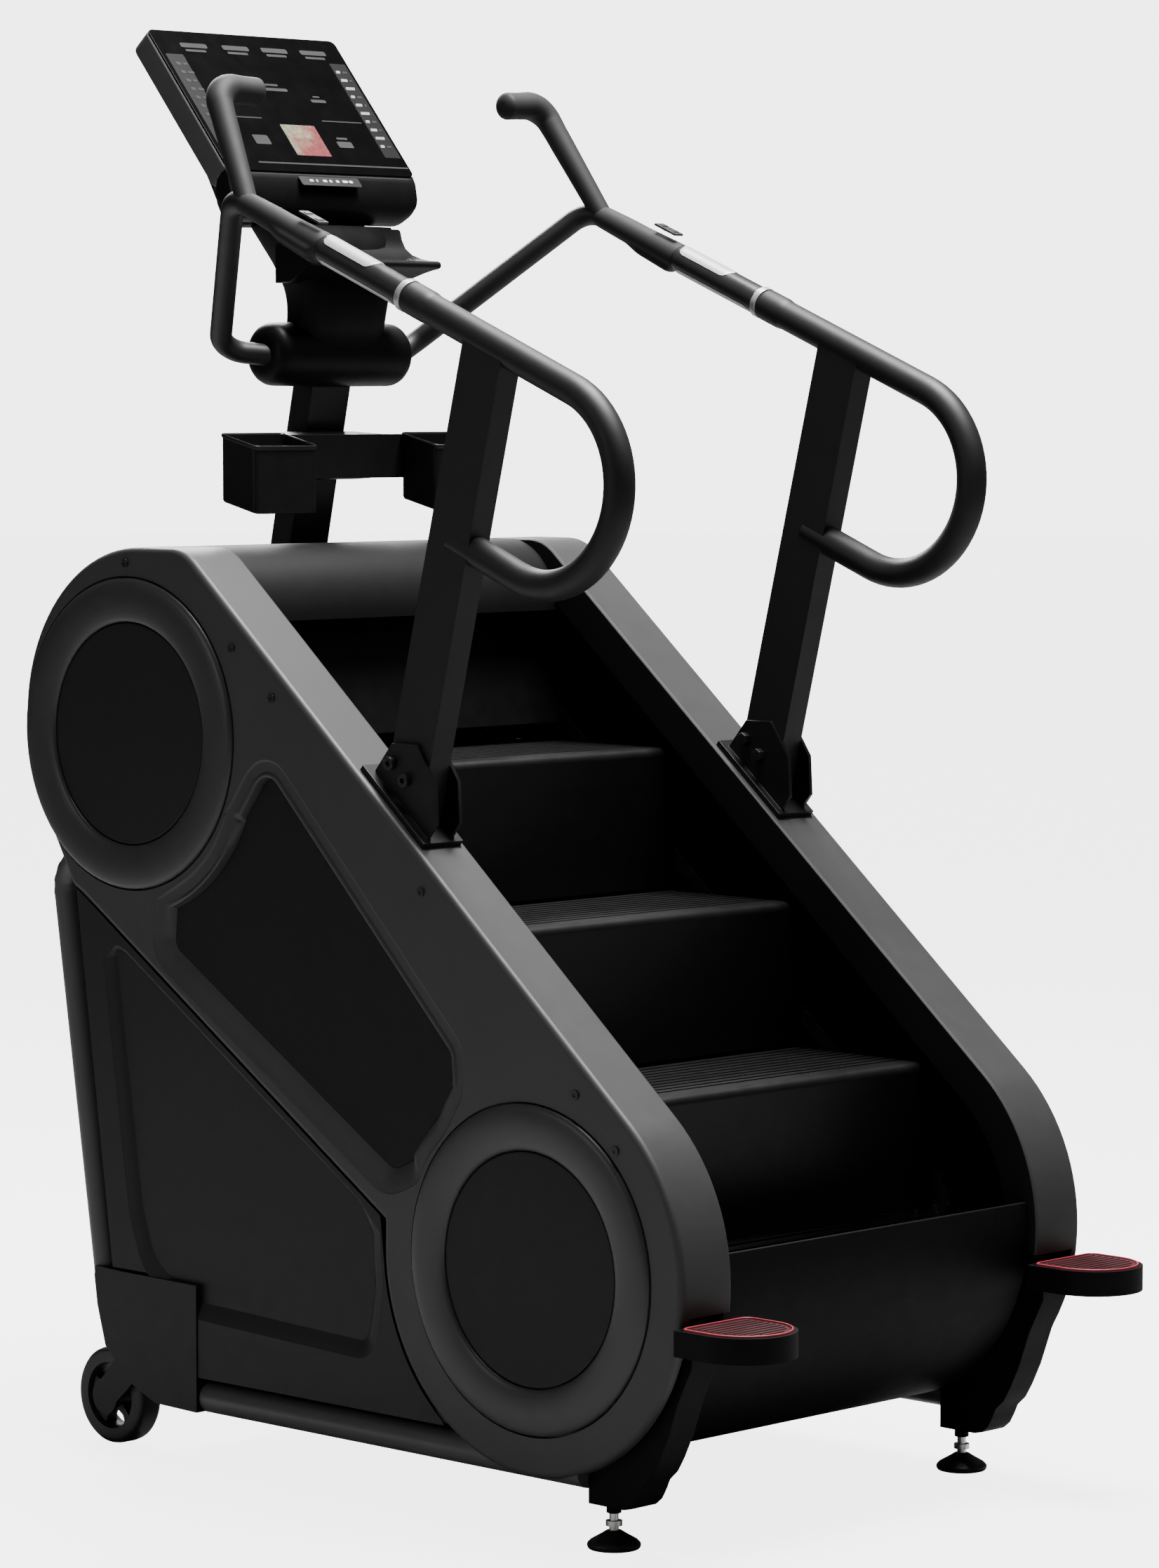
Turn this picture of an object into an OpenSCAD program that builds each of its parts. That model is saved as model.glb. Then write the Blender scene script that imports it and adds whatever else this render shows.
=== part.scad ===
// Revolving stair climber for gym use: a powered-down escalator of eight hinged steps between two side covers,
// with handrails on slanted uprights, a console on a mast, side pedals, transport wheels and levelling feet.
// Frame: X across the width (the user's left is -X), +Y forward towards the console, +Z up.
// The origin is the centre of the bounding box in plan, on the floor.

/* [Stair band] */
// Angle of the stair band above the floor, degrees
slope_deg = 40.2; // [35:0.1:45]
// Chain length between two steps, seventeen links
step_pitch = 323.85; // [300:0.05:350]
// Pitch radius of the chain sprockets
sprocket_r = 82.05; // [70:0.05:100]
// Distance between the two sprocket shafts
shaft_distance = 1038.2; // [900:0.1:1200]
// Forward position of the lower shaft
lower_y = -306; // [-350:1:-250]
// Height of the lower shaft
lower_z = 361; // [320:1:400]
// Distance of a step nose from the line between the shafts
nose_offset = 206.5; // [190:0.5:215]
// Half width of a step
step_half = 322; // [280:1:325]

/* [Covers] */
// Half width over the side covers
cover_out = 404; // [380:1:430]
// Half width of the stair well between the covers
cover_in = 309; // [290:1:320]
// Wall of the plastic covers
wall = 4; // [3:0.5:6]
// Distance of a cover's top face from the shaft line
cover_rise = 276; // [260:1:290]
// Depth of the long side recess
recess_depth = 12; // [6:1:14]
// Outer radius of the round trim rings
disc_r = 219; // [200:1:225]
// Radius of the flat caps in the rings
cap_r = 155; // [140:1:170]

/* [Handrails] */
// Sideways position of the handrail tubes
rail_x = 353; // [330:1:370]
// Slope of the handrail, degrees
rail_deg = 22.2; // [18:0.1:26]
// Outer radius of the large handrail tube
rail_r = 21; // [18:0.5:24]
// Outer radius of the thin tube that runs on to the mast
core_r = 14; // [12:0.5:16]
// Bend radius of the hand loop
loop_r = 133; // [110:1:150]
// Backward lean of the uprights, degrees
upright_deg = 14.04; // [10:0.1:18]
// Depth of the upright tube
upright_d = 76; // [60:1:90]
// Width of the upright tube
upright_w = 38; // [30:1:50]

/* [Console] */
// Half width of the console
console_half = 183; // [170:1:200]
// Length of the console face
console_len = 268; // [240:1:300]
// Lean of the console face from the vertical, degrees
console_deg = 40.2; // [30:0.1:50]
// Half width of the mast
mast_half = 38; // [30:1:50]

/* [Base] */
// Radius of the transport wheels
wheel_r = 70; // [50:1:80]
// Radius of the levelling feet
foot_r = 35.5; // [30:0.5:45]
// Radius of the bottom side tubes
base_tube_r = 22; // [18:1:26]

/* [Hidden] */
ca = cos(slope_deg);
sa = sin(slope_deg);
lower = [lower_y, lower_z];
upper = [lower_y + shaft_distance * ca, lower_z + shaft_distance * sa];
rear_c = [466, 1047];
rear_r = 247;
crest_r = 80;
crest_c = band(1089.6, cover_rise - crest_r);
crease_a = [612, 812];
crease_b = [-50, 385];
rear_t = [677, 918.7];
skirt_r = 221;
guard_r = 262;
step_gap = 5;
step_rise = step_pitch * sa;
step_run = step_pitch * ca;
phase = 88.5;
arc_len = 3.14159265 * sprocket_r;
up_turn = (phase + 3 * step_pitch - shaft_distance) / sprocket_r * 57.29578;
low_turn = 180 - (phase + 7 * step_pitch - 2 * shaft_distance - arc_len) / sprocket_r * 57.29578;
shaft_r = 20;
plate_in = 366;
plate_out = 372;
chain_x = 345;
ring_yz = [-31, 1639];
cr = cos(rail_deg);
sr = sin(rail_deg);
loop_c = rail_at(-332.8, -loop_r);
rail_corner = [rail_x, 330, 1786.3];
hub_corner = [183, 550, 1577];
upright_c = [-123, 1302];
foot_x = 353;
foot_y = -413;
wheel_y = 585;
wheel_x0 = 322;
wheel_x1 = 362;
hub_yz = [500, 1566];
hub_r = 46;
console_yz = [517, 1829];
mast_yz = [565.5, 1302];
mast_deg = 12.2;
mast_d = 42;
brake_yz = [418, 330];
pulley_r = 110;
small_pulley_r = 27.5;
tube_rear_x = 380;
// Straight edges end this far inside the arcs they meet.
lap = 0.04;
bridge_r = rear_r - 0.5;
bridge_top = rear_c[1] + bridge_r;
$fn = 96;

// A point of the side view, s along the shaft line and p square to it, as [y, z].
function band(s, p) = [lower_y + s * ca - p * sa, lower_z + s * sa + p * ca];
// A point of the handrail's centre line, t from the silver collar, as [y, z].
function rail_at(t, off = 0) = [ring_yz[0] + t * cr - off * sr, ring_yz[1] + t * sr + off * cr];

// Side view shapes are drawn in [y, z] and extruded along X.
module along_x(x0, x1) {
  translate([x0, 0, 0])
    rotate([90, 0, 90])
      linear_extrude(height = x1 - x0)
        children();
}

module at_yz(p, x = 0) {
  translate([x, p[0], p[1]])
    children();
}

module x_cylinder(r, x0, x1) {
  translate([x0, 0, 0])
    rotate([0, 90, 0])
      cylinder(r = r, h = x1 - x0);
}

module both_sides() {
  children();
  mirror([1, 0, 0])
    children();
}

module left_side() {
  mirror([1, 0, 0])
    children();
}

module box(x0, y0, z0, x1, y1, z1) {
  translate([x0, y0, z0])
    cube([x1 - x0, y1 - y0, z1 - z0]);
}

// Turns the children's Z axis along d.
module facing(p, d) {
  translate(p)
    rotate([0, acos(d[2] / norm(d)), atan2(d[1], d[0])])
      children();
}

// A round bar between two points.
module rod(a, b, r) {
  facing(a, b - a)
    cylinder(r = r, h = norm(b - a));
}

function unit(v) = v / norm(v);
// How far before a corner a bend of radius rb starts.
function bend_cut(a, b, c, rb) = rb * tan(acos(unit(b - a) * unit(c - b)) / 2);

// Points along the bend of radius rb at the corner b between a and c.
function bend_points(a, b, c, rb, n = 4) =
  let (
    u = unit(b - a),
    v = unit(c - b),
    w = unit(v - (v * u) * u),
    m = b - bend_cut(a, b, c, rb) * u + rb * w,
    turn = acos(u * v)
  )
  [for (i = [0 : n]) m - rb * cos(turn * i / n) * w + rb * sin(turn * i / n) * u];

// A round tube through points, with a slightly proud ball at every inner point.
module tube_path(pts, r) {
  for (i = [0 : len(pts) - 2])
    rod(pts[i], pts[i + 1], r);
  for (i = [1 : len(pts) - 2])
    facing(pts[i], pts[i + 1] - pts[i - 1])
      sphere(r = r + 0.4);
}

// ---- Side view outlines ----

// Outline of a side cover, drawn t inside its outer face.
module cover_outline(t) {
  translate(lower)
    circle(r = cover_rise - t);
  translate(crest_c)
    circle(r = crest_r - t);
  translate(rear_c)
    circle(r = rear_r - t);
  polygon([
    band(0, cover_rise - t - lap), band(1089.6, cover_rise - t - lap),
    [crest_c[0], crest_c[1] + crest_r - t - lap], [rear_c[0], rear_c[1] + rear_r - t - lap], rear_c, [rear_t[0] - 0.854 * t, rear_t[1] + 0.52 * t],
    [crease_a[0] - 0.735 * t, crease_a[1] + 0.716 * t],
    [crease_b[0] - 0.542 * t, crease_b[1] + 0.84 * t], lower
  ]);
}

// The part of the outline that carries the wide top face.
module top_face_zone() {
  polygon([[-800, 322], lower + [0, -39], lower, [500, 880], [900, 880], [900, 1500], [-800, 1500]]);
}

module step_zone(r) {
  translate(lower)
    circle(r = r);
  translate(upper)
    circle(r = r);
  polygon([
    band(0, r - lap), band(shaft_distance, r - lap), band(shaft_distance, lap - r), band(0, lap - r)
  ]);
}

// The long recess between the two rings, e outside its floor outline.
module recess_quad(top_e, low_e) {
  polygon([
    [300 - 0.7071 * top_e, 1092 + 0.7071 * top_e], [-230 - 0.7071 * top_e, 562 + 0.7071 * top_e],
    [-110 + 0.5225 * low_e, 420 - 0.8526 * low_e], [470 + 0.5225 * low_e, 775.5 - 0.8526 * low_e]
  ]);
}

// e widens the recess by a wall; past lets a cutting body reach past both faces.
module recess_body(e, past) {
  difference() {
    hull() {
      along_x(cover_out + past, cover_out + past + 0.1)
        recess_quad(10 + e, 28 + e);
      along_x(cover_out - recess_depth - wall - past, cover_out - recess_depth)
        recess_quad(e, e);
    }
    at_yz(upper)
      x_cylinder(258 - e, 300, 460);
    at_yz(lower)
      x_cylinder(258 - e, 300, 460);
  }
}

// ---- Covers ----

module side_cover() {
  color("dimgray")
  difference() {
    union() {
      along_x(cover_out - wall, cover_out)
        cover_outline(0);
      along_x(cover_in + wall, cover_out - wall)
        intersection() {
          difference() {
            cover_outline(0);
            cover_outline(wall);
          }
          top_face_zone();
        }
      along_x(cover_in, cover_in + wall)
        difference() {
          cover_outline(0);
          step_zone(skirt_r);
          polygon([band(0, 0), band(shaft_distance, 0), [900, 800], [900, 0], [lower_y, 0]]);
        }
      intersection() {
        recess_body(wall, 0);
        box(cover_out - recess_depth - wall, -400, 300, cover_out, 600, 1200);
      }
    }
    recess_body(0, 1);
    // Slots for the tabs of the upright bracket.
    translate([0, lower_y, lower_z])
      rotate([slope_deg, 0, 0])
        for (s = [540, 636])
          box(332, s - 13, 258, 374, s + 13, 290);
    // The cross tubes pass through the inner wall.
    at_yz([-366, 136])
      x_cylinder(15.6, 300, 330);
    box(300, 514.4, 1239.4, 330, 575.6, 1258.6);
    for (c = [lower, upper])
      at_yz(c)
        x_cylinder(30, 380, 420);
    for (p = screw_points())
      at_yz(p)
        x_cylinder(3.2, 380, 420);
  }
}

// Screws along the edge of each side face.
function screw_points() = [[491, 1271], [269, 1159], [188, 1093], [-105, 846], [-392, 600], [-464, 534]];

module side_cover_right() {
  side_cover();
}

module side_cover_left() {
  left_side()
    side_cover();
}

module inset_panel() {
  difference() {
    along_x(cover_out - recess_depth - wall, cover_out - recess_depth)
      recess_quad(-0.3, -0.3);
    at_yz(upper)
      x_cylinder(258.3, 300, 460);
    at_yz(lower)
      x_cylinder(258.3, 300, 460);
  }
}

module inset_panels() {
  color([0.08, 0.08, 0.08])
  both_sides()
    inset_panel();
}

module base_outline() {
  difference() {
    polygon([
      [580, 786], crease_a + [-62, -44], crease_b + [0, -4], [-180, 200], [-180, 132], [349, 132],
      [349, 268], [520, 268]
    ]);
    translate(lower)
      circle(r = cover_rise + 1.5);
  }
}

module base_pocket(x0, x1, e) {
  along_x(x0, x1)
    polygon([
      [532 + e, 722 + e], [486 + e, 320], [470 + e, 285 - e], [440 + e, 258 - e], [400, 240 - e],
      [-90, 236 - e], [-90, 344 + 0.6 * e], [0, 392 + 0.6 * e], [505 - e, 715 + e]
    ]);
}

module base_panel() {
  color([0.12, 0.12, 0.12])
  difference() {
    union() {
      along_x(cover_out - 2 - wall, cover_out - 2)
        base_outline();
      difference() {
        base_pocket(cover_out - 14, cover_out - 5, 0);
        at_yz(lower)
          x_cylinder(298, 300, 460);
        along_x(380, 420)
          polygon([[349.8, 60], [349.8, 262.2], [514, 264.2], [600, 267.2], [600, 60]]);
      }
    }
    difference() {
      hull() {
        base_pocket(cover_out - 10, cover_out - 9.9, -8);
        base_pocket(cover_out - 1.9, cover_out - 1.8, 14);
      }
      at_yz(lower)
        x_cylinder(306, 300, 460);
    }
  }
}

module base_panel_right() {
  base_panel();
}

module base_panel_left() {
  left_side()
    base_panel();
}

module disc_ring(c, hand) {
  at_yz(c)
    scale([hand, 1, 1])
      difference() {
        union() {
          x_cylinder(disc_r, cover_out, cover_out + 6);
          translate([cover_out + 6, 0, 0])
            rotate([0, 90, 0])
              cylinder(r1 = disc_r, r2 = disc_r - 8, h = 8);
          x_cylinder(29, cover_out - 16, cover_out);
        }
        translate([cover_out + 6, 0, 0])
          rotate([0, 90, 0])
            cylinder(r1 = cap_r, r2 = cap_r + 6, h = 8.5);
        x_cylinder(23, 300, 460);
      }
}

module disc_rings() {
  color("dimgray")
  for (c = [lower, upper])
    for (hand = [-1, 1])
      disc_ring(c, hand);
}

module disc_caps() {
  color([0.1, 0.1, 0.1])
  for (c = [lower, upper])
    for (hand = [-1, 1])
      at_yz(c)
        scale([hand, 1, 1])
          x_cylinder(cap_r - 0.5, cover_out + 6, cover_out + 10);
}

// A bent strip of cover wall between two quarter-plane corners.
module bridge_arc(c, r, corners) {
  along_x(-cover_in + 0.5, cover_in - 0.5)
    translate(c)
      intersection() {
        difference() {
          circle(r = r);
          circle(r = r - wall);
        }
        polygon(corners);
      }
}

module bridge_cover() {
  color([0.13, 0.13, 0.13])
  difference() {
    union() {
      bridge_arc(rear_c, bridge_r, [[0, 0], [0, 300], [300, 300], [300, -101.6]]);
      box(-cover_in + 0.5, 440, bridge_top - wall, cover_in - 0.5, rear_c[0], bridge_top);
      bridge_arc([440, bridge_top - 97], 97, [[0, 0], [-100, 0], [-100, 100], [0, 100]]);
      box(-cover_in + 0.5, 343, 1189, cover_in - 0.5, 343 + wall, bridge_top - 97);
    }
    at_yz(mast_yz)
      rotate([mast_deg, 0, 0])
        box(-mast_half - 1, -mast_d / 2 - 1, -120, mast_half + 1, mast_d / 2 + 1, 60);
  }
}

module front_guard() {
  color([0.06, 0.06, 0.06])
  along_x(-cover_in + 0.5, cover_in - 0.5)
    intersection() {
      translate(lower)
        difference() {
          circle(r = guard_r);
          circle(r = guard_r - 6);
        }
      polygon([[-700, 400], [lower_y, 400], [lower_y, 0], [-700, 0]]);
    }
}

module rear_cover() {
  color([0.12, 0.12, 0.12])
  difference() {
    along_x(-cover_in + 0.5, cover_in - 0.5)
      polygon([
        [681, 922], [618, 810], [584, 560], [548, 150], [544, 104], [540, 104], [544, 150],
        [580, 561], [614, 811], [677, 922]
      ]);
    box(-150.1, 530, 117.9, -97.9, 560, 156.1);
  }
}

module belly_pan() {
  color([0.1, 0.1, 0.1])
  box(-cover_in + 0.5, lower_y, lower_z - guard_r, cover_in - 0.5, 539.5, lower_z - guard_r + 4);
}

module cover_screws() {
  color([0.05, 0.05, 0.05])
  both_sides()
    for (p = screw_points())
      at_yz(p) {
        x_cylinder(3, cover_out - 12, cover_out);
        difference() {
          x_cylinder(6.5, cover_out, cover_out + 2.4);
          translate([cover_out + 1, 0, 0])
            rotate([0, 90, 0])
              cylinder(r = 2.6, h = 3, $fn = 6);
        }
      }
}

// ---- Frame ----

module side_plate() {
  along_x(plate_in, plate_out)
    difference() {
      union() {
        translate(lower)
          circle(r = 225);
        intersection() {
          translate(upper)
            circle(r = 232);
          translate(rear_c)
            circle(r = rear_r - 8);
        }
        polygon([
          band(0, 228.8), band(960, 228.8), band(1000, 0), [560, 780], [548, 640], [520, 132], [-300, 132]
        ]);
      }
      translate([612, 846])
        circle(r = 44);
      for (c = [lower, upper])
        translate(c)
          circle(r = shaft_r + 2);
      translate(brake_yz)
        circle(r = 12);
      translate([250, 300])
        circle(r = 75);
      translate([60, 330])
        circle(r = 60);
      translate([440, 560])
        circle(r = 70);
      for (s = [260, 460, 660, 860])
        translate(band(s, 60))
          circle(r = 70);
    }
}

module side_plates() {
  color([0.2, 0.2, 0.2])
  both_sides()
    side_plate();
}

module base_frame() {
  color([0.16, 0.16, 0.16]) {
    both_sides() {
      translate([378, -391.8, 102])
        rotate([-90, 0, 0])
          difference() {
            cylinder(r = base_tube_r, h = 740.6);
            translate([0, 0, 2])
              cylinder(r = base_tube_r - 2.5, h = 736.6);
          }
      translate([0, lower_y, lower_z])
        rotate([slope_deg, 0, 0])
          difference() {
            box(334, 60, 229, plate_out, 960, 262);
            box(337, 63, 232, plate_out - 3, 957, 259);
          }
      box(345, -300, 118, plate_in, 349, 131.8);
    }
    at_yz([-366, 136])
      x_cylinder(15, -plate_in, plate_in);
    box(-plate_in, 470, 110, plate_in, 520, 150);
    box(-plate_in, 515, 1240, plate_in, 575, 1258);
  }
}

// The bracket that carries a levelling foot and a pedal.
module front_leg() {
  difference() {
    along_x(330, 380)
      polygon([
        [-577, 262], [-577, 318], [-470, 318], [-440, 250], [-392, 170], [-392, 60], [-455, 60],
        [-468, 63], [-479, 72], [-487, 86], [-493, 99], [-507, 112], [-519, 132], [-534, 163],
        [-553, 215]
      ]);
    translate([foot_x, foot_y, 59])
      cylinder(r = 6.05, h = 80);
    // Slot for the side plate.
    along_x(plate_in - 0.1, plate_out + 0.1)
      translate(lower)
        circle(r = 225.15);
  }
  translate([foot_x, foot_y, 47])
    difference() {
      cylinder(r = 10, h = 13);
      translate([0, 0, -1])
        cylinder(r = 6.05, h = 15);
    }
}

module front_legs() {
  color([0.05, 0.05, 0.05])
  both_sides()
    front_leg();
}

module rear_corner() {
  difference() {
    rear_corner_body();
    box(300, 469.9, 109.9, 366.1, 520.1, 150.1);
    along_x(plate_in - 0.1, plate_out + 0.1)
      polygon([[-300, 131.9], [520.1, 131.9], [548.1, 640], [-300, 640]]);
  }
}

module rear_corner_body() {
  difference() {
    along_x(368, cover_out)
      polygon([
        [350, 82], [350, 262], [514, 264], [566, 266], [568, 252], [562, 210], [545, 153],
        [508, 122], [491, 106], [438, 84]
      ]);
    along_x(367, cover_out - 5)
      polygon([[390, 120], [390, 240], [500, 240], [545, 230], [528, 165], [470, 120]]);
    at_yz([wheel_y, wheel_r])
      x_cylinder(wheel_r + 6, 350, 372);
    rod(rear_path[0], rear_path[1], 19.05);
  }
  // Inner cheek and arm that hold the wheel bolt.
  along_x(310, 318)
    polygon([[440, 100], [440, 150], [540, 150], [600, 100], [612, 70], [600, 45], [570, 42], [520, 84]]);
  box(310, 400, 104, 372, 432, 128);
  box(310, 425, 104, 318, 445, 128);
  at_yz([wheel_y, wheel_r])
    x_cylinder(8, 318, 368);
  at_yz([wheel_y, wheel_r])
    difference() {
      x_cylinder(26, 366, 372);
      x_cylinder(3, 360, 380);
    }
  along_x(368, 372)
    polygon([[500, 118], [500, 150], [540, 150], [600, 86], [603, 66], [592, 52], [574, 52]]);
}

module rear_corners() {
  color([0.14, 0.14, 0.14])
  both_sides()
    rear_corner();
}

rear_path = [[tube_rear_x, 563, 235], [tube_rear_x, 655, 835], [tube_rear_x, 590, 854]];

module rear_tube() {
  tube_path(concat([rear_path[0]], bend_points(rear_path[0], rear_path[1], rear_path[2], 45), [rear_path[2]]), 19);
}

module rear_tubes() {
  color([0.1, 0.1, 0.11])
  both_sides()
    rear_tube();
}

// ---- Handrails ----

module upright_prism(grow, x0, x1, top) {
  c = upright_c;
  k = tan(upright_deg);
  h = upright_d / 2 - grow;
  z0 = 900;
  z1 = top;
  intersection() {
    along_x(x0, x1)
      polygon([
        [c[0] - k * (z0 - c[1]) - h / cos(upright_deg), z0],
        [c[0] - k * (z0 - c[1]) + h / cos(upright_deg), z0],
        [c[0] - k * (z1 - c[1]) + h / cos(upright_deg), z1],
        [c[0] - k * (z1 - c[1]) - h / cos(upright_deg), z1]
      ]);
    translate([0, lower_y, lower_z])
      rotate([slope_deg, 0, 0])
        box(0, 300, cover_rise + 8 + (grow > 0 ? 3 : 0), 500, 1400, 1500);
    at_yz(ring_yz)
      rotate([rail_deg, 0, 0])
        box(0, -600, -900, 500, 300, grow > 0 ? -26 : 0);
  }
}

module rail_line(t0, t1, r) {
  at_yz(rail_at(t0), rail_x)
    rotate([rail_deg - 90, 0, 0])
      cylinder(r = r, h = t1 - t0);
}

module upright() {
  color([0.13, 0.13, 0.13])
  difference() {
    upright_prism(0, rail_x - upright_w / 2, rail_x + upright_w / 2, 1700);
    upright_prism(3, rail_x - upright_w / 2 + 3, rail_x + upright_w / 2 - 3, 1700);
    rail_line(-420, 0, rail_r + 0.06);
    for (p = bolt_points())
      at_yz(p)
        x_cylinder(5.1, 300, 400);
  }
}

function bolt_points() = [[-22, 1013], [-50, 991]];

module upright_right() {
  upright();
}

module upright_left() {
  left_side()
    upright();
}

module upright_bracket() {
  difference() {
    union() {
      translate([0, lower_y, lower_z])
        rotate([slope_deg, 0, 0]) {
          box(317, 513, cover_rise, 391, 668, cover_rise + 8);
          for (s = [540, 636])
            box(333, s - 12, 262, 373, s + 12, cover_rise);
        }
      for (x = [rail_x - upright_w / 2 - 6, rail_x + upright_w / 2])
        intersection() {
          along_x(x, x + 6)
            polygon([[-110, 880], [-104, 990], [-70, 1040], [0, 1040], [14, 1018], [40, 1040], [60, 960]]);
          translate([0, lower_y, lower_z])
            rotate([slope_deg, 0, 0])
              box(300, 522, cover_rise + 8, 420, 655, cover_rise + 90);
        }
    }
    for (p = bolt_points())
      at_yz(p)
        x_cylinder(5.1, 300, 420);
  }
}

module upright_brackets() {
  color([0.08, 0.08, 0.08])
  both_sides()
    upright_bracket();
}

module upright_bolts() {
  color([0.35, 0.35, 0.35])
  both_sides()
    for (p = bolt_points())
      at_yz(p) {
        x_cylinder(5, 322, rail_x + upright_w / 2 + 6);
        difference() {
          x_cylinder(9, rail_x + upright_w / 2 + 6, rail_x + upright_w / 2 + 14);
          translate([rail_x + upright_w / 2 + 9, 0, 0])
            rotate([0, 90, 0])
              cylinder(r = 4.6, h = 8, $fn = 6);
        }
        translate([318, 0, 0])
          rotate([0, 90, 0])
            cylinder(r = 9.5, h = 10, $fn = 6);
      }
}

// The hand loop, from the top rail round to the tube that runs back to the upright.
loop_points = [
  for (i = [0 : 12]) [
    rail_x,
    loop_c[0] - loop_r * sin(rail_deg + i * 15),
    loop_c[1] + loop_r * cos(rail_deg + i * 15)
  ]
];
loop_end = [rail_x, loop_c[0] + loop_r * sr + 130 * cr, loop_c[1] - loop_r * cr + 130 * sr];
core_start = [rail_x, rail_at(-6)[0], rail_at(-6)[1]];
core_end = [118, 493, 1563];

module handrail() {
  color([0.12, 0.12, 0.12])
  difference() {
    union() {
      tube_path(concat([[rail_x, rail_at(-5)[0], rail_at(-5)[1]]], loop_points, [loop_end]), rail_r);
      tube_path(
        concat(
          [core_start],
          bend_points(core_start, rail_corner, hub_corner, 44),
          bend_points(rail_corner, hub_corner, core_end, 40),
          [core_end]
        ),
        core_r
      );
    }
    // The lower loop tube is welded to the face of the upright.
    at_yz(upright_c, 300)
      rotate([upright_deg, 0, 0])
        box(0, -upright_d / 2 - 0.05, -90, 100, 100, 90);
  }
}

module handrail_right() {
  handrail();
}

module handrail_left() {
  left_side()
    handrail();
}

module pulse_grips() {
  color([0.6, 0.6, 0.62])
  both_sides()
    difference() {
      rail_line(5.5, 175, 20);
      rail_line(0, 180, core_r + 0.05);
      // Insulating seams between the two metal halves.
      for (x = [rail_x - 21, rail_x + 17.5])
        at_yz(ring_yz)
          rotate([rail_deg, 0, 0])
            box(x, 8, -1.2, x + 3.5, 172, 1.2);
    }
}

module grip_collars() {
  color([0.75, 0.75, 0.78])
  both_sides()
    difference() {
      rail_line(-4.8, 5.2, 23);
      rail_line(-10, 10, core_r + 0.05);
    }
}

module rail_sleeve() {
  color([0.11, 0.11, 0.11])
  difference() {
    union() {
      rail_line(175.3, 300, 25);
      at_yz(rail_at(175.3), rail_x)
        rotate([rail_deg, 0, 0]) {
          // Raised pod for the thumb switch.
          box(rail_x - 353 - 15, 4, 10, 15, 78, 31);
          translate([0, 78, 10])
            cylinder(r = 15, h = 21);
        }
      rail_line(300, 322, 21);
    }
    rail_line(170, 330, core_r + 0.05);
    at_yz(rail_at(175.3), rail_x)
      rotate([rail_deg, 0, 0])
        box(-9.5, 14, 26, 9.5, 62, 40);
  }
}

module rail_sleeve_right() {
  rail_sleeve();
}

module rail_sleeve_left() {
  left_side()
    rail_sleeve();
}

module thumb_switch() {
  color([0.3, 0.3, 0.32])
  at_yz(rail_at(175.3), rail_x)
    rotate([rail_deg, 0, 0]) {
      translate([-9, 16, 28.6])
        cube([18, 44, 3.2]);
      translate([-9, 37, 28])
        cube([18, 2, 2]);
      for (y = [22, 46])
        translate([-6, y, 31.8])
          cube([12, 8, 1.2]);
    }
}

module thumb_switch_right() {
  thumb_switch();
}

module thumb_switch_left() {
  left_side()
    thumb_switch();
}

stub = [[353, 290, 1771], [345, 390, 1926], [252, 385, 1922]];

module stub_handle() {
  color([0.13, 0.13, 0.13])
  difference() {
    union() {
      rail_line(322.3, 358, 21);
      tube_path(concat([stub[0]], bend_points(stub[0], stub[1], stub[2], 26), [stub[2]]), 17);
      facing([272, 386.1, 1922.8], stub[2] - stub[1]) {
        cylinder(r1 = 18, r2 = 22, h = 12);
        translate([0, 0, 12])
          cylinder(r = 22, h = 18);
        translate([0, 0, 30])
          cylinder(r1 = 22, r2 = 12, h = 9);
      }
    }
    tube_path(
      concat(
        [[rail_x, rail_at(300)[0], rail_at(300)[1]]],
        bend_points(core_start, rail_corner, hub_corner, 44),
        [rail_corner + 0.5 * (hub_corner - rail_corner)]
      ),
      core_r + 0.05
    );
  }
}

module stub_handle_right() {
  stub_handle();
}

module stub_handle_left() {
  left_side()
    stub_handle();
}

// ---- Mast and console ----

module mast() {
  color([0.07, 0.07, 0.07])
  difference() {
    at_yz(mast_yz)
      rotate([mast_deg, 0, 0])
        difference() {
          union() {
            box(-mast_half, -mast_d / 2, -80, mast_half, mast_d / 2, 262);
          }
          box(-mast_half + 3, -mast_d / 2 + 3, -70, mast_half - 3, mast_d / 2 - 3, 200);
        }
    at_yz(hub_yz)
      x_cylinder(hub_r, -200, 200);
    box(-200, 400, 1100, 200, 700, 1258);
  }
  // Welded flange under the bridge cover.
  difference() {
    box(-58, 517, 1258, 58, 573, 1264);
    at_yz(mast_yz)
      rotate([mast_deg, 0, 0])
        box(-mast_half, -mast_d / 2, -80, mast_half, mast_d / 2, 262);
  }
}

module neck_shape(e) {
  hull() {
    box(-80 - e, 452 - e, 1570, 80 + e, 530, 1590);
    box(-86 - e, 440 - e, 1640, 86 + e, 520, 1660);
    box(-112 - e, 470 - e, 1742, 112 + e, 566, 1748);
  }
}

module neck_hub() {
  color([0.07, 0.07, 0.07])
  difference() {
    union() {
      at_yz(hub_yz) {
        x_cylinder(hub_r, -118, 118);
        translate([118, 0, 0])
          rotate([0, 90, 0])
            cylinder(r1 = hub_r, r2 = 34, h = 14);
        translate([-118, 0, 0])
          rotate([0, -90, 0])
            cylinder(r1 = hub_r, r2 = 34, h = 14);
      }
      neck_shape(0);
    }
    // The thin rail tubes end inside the hub.
    both_sides()
      rod([118, 493, 1563], hub_corner + 0.3 * (hub_corner - [118, 493, 1563]), core_r + 0.05);
  }
}

module console_frame() {
  at_yz(console_yz)
    rotate([-console_deg, 0, 0])
      children();
}

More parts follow.
